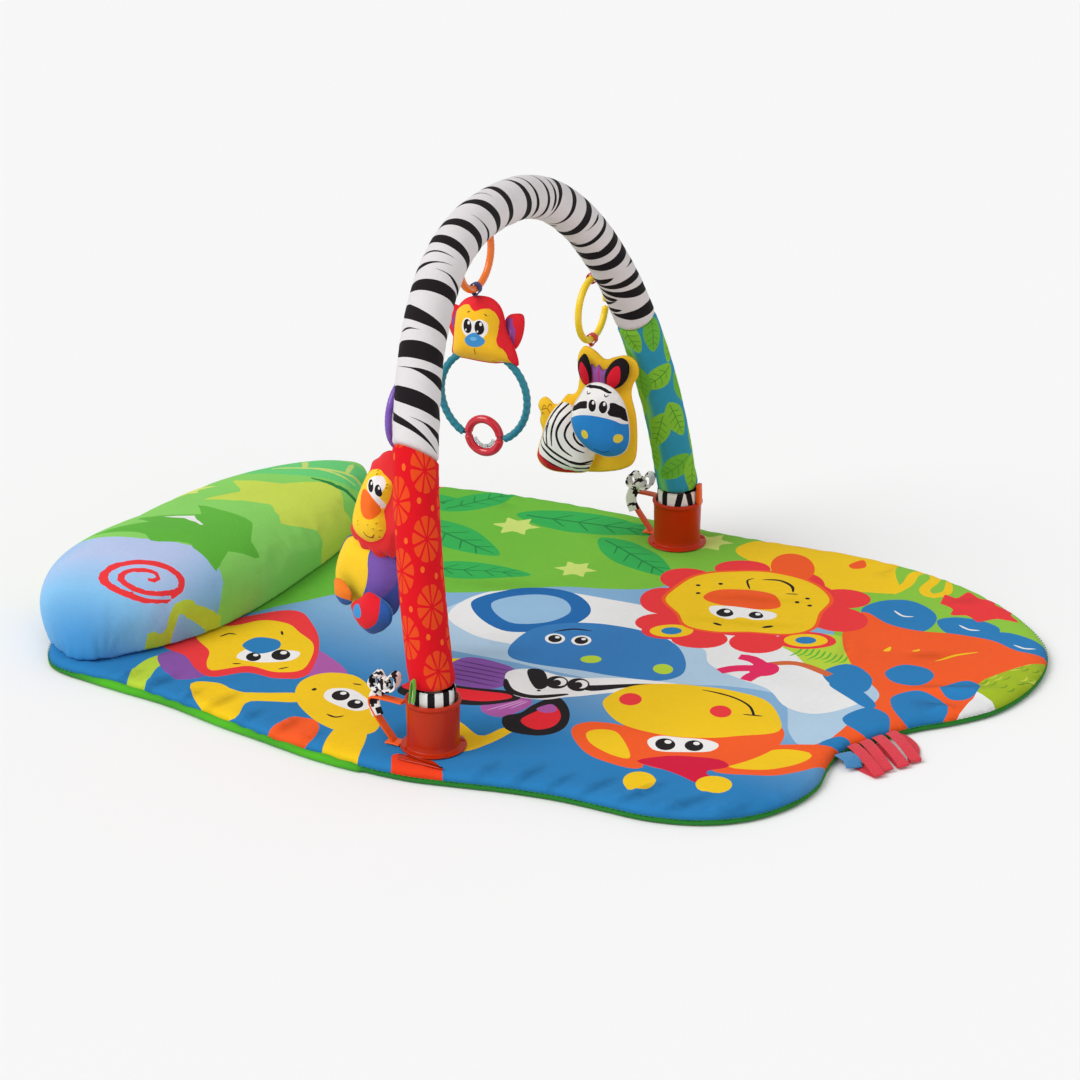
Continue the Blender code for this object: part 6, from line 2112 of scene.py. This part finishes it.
def build_ribbon(number):
    """A red ribbon at the foot end, folded over into a flat loop whose two ends are in the mat's seam."""
    across = Vector((-RIBBON_OUT.y, RIBBON_OUT.x, 0))
    low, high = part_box(f"ribbon_loop_{number}")
    middle = (low + high) / 2
    middle.z = 0
    tip = (middle + RIBBON_OUT * (0.0225 + 0.0015 * (number % 2))
           + across * 0.0012 * math.sin(number * 2.3))
    root = Vector((*edge_behind(middle, RIBBON_OUT), 0))
    shift = across * RIBBON_SHIFT[number - 1]
    line = [(root - RIBBON_OUT * 0.002, 0.0060), (root + RIBBON_OUT * 0.008, 0.0086),
            ((root + tip) / 2, 0.0082), (tip - RIBBON_OUT * 0.005, 0.0046), (tip, 0.0030),
            (tip - RIBBON_OUT * 0.005, 0.0013), ((root + tip) / 2 + shift * 0.9, 0.0011),
            (root + RIBBON_OUT * 0.010 + shift, 0.0013), (root + RIBBON_OUT * 0.005 + shift * 0.7, 0.0018)]
    line = [Vector((p.x, p.y, z)) for p, z in line]
    ribbon = rounded_bar(f"red_ribbon_{number}", line, 0.0108, 0.0007, across + Vector((0, 0, 0.12)),
                         RED_RIBBON, 0.3)
    for v in ribbon.data.vertices:
        v.co.z = max(v.co.z, 0.0004)
    add_piece(ribbon, "mat", [f"ribbon_loop_{number}"])


def build_tabs():
    """The blue tab beside the ribbons, the pillow's plain tag, and the green loop at the near cuff."""
    low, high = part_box("blue_tab")
    middle = (low + high) / 2
    line = [(0.3268, middle.y + 0.0075, 0.0062), (0.3315, middle.y + 0.0020, 0.0084),
            (middle.x + 0.0035, middle.y - 0.0030, 0.0078), (middle.x + 0.0085, middle.y - 0.0080, 0.0030)]
    tab = rounded_bar("navy_tab", line, 0.0165, 0.0016, (0.55, 0.83, 0), BLUE_RIBBON, 0.3)
    add_piece(tab, "mat", ["blue_tab"])

    low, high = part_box("blank_tag")
    middle = (low + high) / 2
    slope = Vector((0.24, -0.33, 0.91)) * 0.0045
    line = [middle - slope, middle + Vector((0.0004, 0, 0)), middle + slope]
    tag = rounded_bar("plain_tag", line, 0.0250, 0.0009, (0.809, 0.588, 0), TAG_CLOTH, 0.25)
    add_piece(tag, "mat", ["blank_tag"])

    low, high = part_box("green_tab")
    x, y, width = (low.x + high.x) / 2, (low.y + high.y) / 2, high.y - low.y
    line = [(x - 0.0018, y, low.z + 0.0006), (x - 0.0008, y, low.z + 0.010),
            (x + 0.0010, y, high.z - 0.0012), (x + 0.0026, y, high.z - 0.0018),
            (x + 0.0030, y, high.z - 0.010), (x + 0.0018, y, low.z + 0.0010)]
    tab = rounded_bar("green_loop_tab", line, width, 0.0008, (0, 1, 0), GREEN_RIBBON, 0.3)
    add_piece(tab, "arch", ["green_tab"])


def build_edge_patch():
    """The orange patch on the mat below the near cup, with a softened upper edge."""
    corners = [(-0.0195, -0.2925), (-0.0150, -0.3020), (0.0310, -0.3020), (0.0165, -0.2925)]
    patch = inset(resampled(corners, 0.0016), -0.0002)
    layers = []
    for rise, grow in ((0.0, 0.0), (0.0006, 0.0), (0.0013, -0.0007), (0.0014, -0.0018)):
        layers.append(np.column_stack([inset(patch, -grow), np.full(len(patch), 0.0136 + rise)]))
    obj = swept("orange_edge_patch", layers, CUP_PLASTIC, closed=False)
    add_piece(obj, "mat", ["edge_patch"])


def build_trims():
    """The sewn-on ribbons and tabs, and the orange patch."""
    for number in range(1, 5):
        build_ribbon(number)
    build_tabs()
    build_edge_patch()


def hollow_tube(name, along, outer, inner, material):
    """A tube with a wall round the arch's line, closed at both ends."""
    sides = 32
    angle = np.linspace(0, 2 * math.pi, sides, endpoint=False)
    rings = []
    for radius in (outer, inner):
        rings.append([ARCH.surface(np.full(sides, u), angle, np.full(sides, radius)) for u in along])
    points = np.vstack([np.vstack(ring) for ring in rings])
    count = len(along)
    faces = []
    for wall, flip in ((0, False), (1, True)):
        base = wall * count * sides
        for i in range(count - 1):
            here, there = base + i * sides, base + (i + 1) * sides
            for k in range(sides):
                j = (k + 1) % sides
                face = (here + k, here + j, there + j, there + k)
                faces.append(face[::-1] if flip else face)
    for i in (0, count - 1):
        for k in range(sides):
            j = (k + 1) % sides
            faces.append((i * sides + k, i * sides + j, (count + i) * sides + j, (count + i) * sides + k))
    return tidy_mesh(mesh_object(name, points, faces, material))


FOAM_START = 0.036                      # how far up each foot the foam begins
FOAM_R, FOAM_BORE = 0.0172, 0.0086


def build_hidden():
    """What the covers hide: the foam round the arch's tube, and the looks of the bare hardware."""
    along = np.linspace(FOAM_START, ARCH.length[-1] - FOAM_START, 120)
    foam = hollow_tube("arch_foam_tube", along, FOAM_R, FOAM_BORE, FOAM)
    add_piece(foam, "arch", ["arch_foam"])
    looks = {"arch_tube": TUBE_PLASTIC, "arch_plug_near": CUP_PLASTIC, "arch_plug_far": CUP_PLASTIC,
             "backing_plate_near": STEEL, "backing_plate_far": STEEL, "socket_screw_near": STEEL,
             "socket_screw_far": STEEL, "rattle_window": CLEAR, "rattle_bead_1": LINK_YELLOW,
             "rattle_bead_2": BEAD_GREEN}
    for node, material in looks.items():
        slots = bpy.data.objects[node].data.materials
        if not slots:
            slots.append(material)
        for index in range(len(slots)):
            slots[index] = material


# ---------------------------------------------------------------- camera, floor and light

# Each light's name, where it shines from, its strength, and how wide it looks in degrees
LIGHTS = (("key", (-1.2, -1.3, 1.9), 1.62, 38), ("fill", (2.2, -1.2, 1.3), 0.22, 60))
CAMERA_TURN, CAMERA_RISE = math.radians(26.5), math.radians(22.7)
CAMERA_TARGET = Vector((-0.025, 0.0, 0.109))
CAMERA_DISTANCE = 3.2
CAMERA_LENS = 112.5
SKY_LIGHT = 0.60
FLOOR_Z = -0.0004                       # just below the mat, so that the two never share a plane


def build_stage():
    """A plain pale floor, soft studio light and the camera."""
    bpy.ops.mesh.primitive_plane_add(size=60, location=(0, 0, FLOOR_Z))
    floor = bpy.context.object
    floor.name = "studio_floor"
    paint = bpy.data.materials.new("pale_floor")
    paint.use_nodes = True
    shader = paint.node_tree.nodes["Principled BSDF"]
    shader.inputs["Base Color"].default_value = (0.93, 0.93, 0.93, 1)
    shader.inputs["Roughness"].default_value = 0.9
    shader.inputs["Specular IOR Level"].default_value = 0.1
    floor.data.materials.append(paint)

    world = bpy.data.worlds.new("studio")
    world.use_nodes = True
    world.node_tree.nodes["Background"].inputs["Color"].default_value = (1, 1, 1, 1)
    world.node_tree.nodes["Background"].inputs["Strength"].default_value = SKY_LIGHT
    SCENE.world = world
    for name, place, strength, spread in LIGHTS:
        light = bpy.data.lights.new(name, "SUN")
        light.energy = strength
        light.angle = math.radians(spread)
        lamp = bpy.data.objects.new(name, light)
        lamp.location = place
        lamp.rotation_euler = (-Vector(place)).to_track_quat("-Z", "Y").to_euler()
        SCENE.collection.objects.link(lamp)

    level = math.cos(CAMERA_RISE)
    back = Vector((math.sin(CAMERA_TURN) * level, -math.cos(CAMERA_TURN) * level, math.sin(CAMERA_RISE)))
    lens = bpy.data.cameras.new("camera")
    lens.lens = CAMERA_LENS
    lens.sensor_width = 36
    camera = bpy.data.objects.new("camera", lens)
    camera.location = CAMERA_TARGET + back * CAMERA_DISTANCE
    camera.rotation_euler = (-back).to_track_quat("-Z", "Y").to_euler()
    SCENE.collection.objects.link(camera)
    SCENE.camera = camera


# ---------------------------------------------------------------- everything, in order

for build in (build_mat_cover, build_mat_edging, build_pillow, build_sleeves, build_cuffs, build_cups,
              build_links, build_monkey, build_rattle, build_zebra, build_lion, build_trims, build_hidden,
              build_stage):
    build()
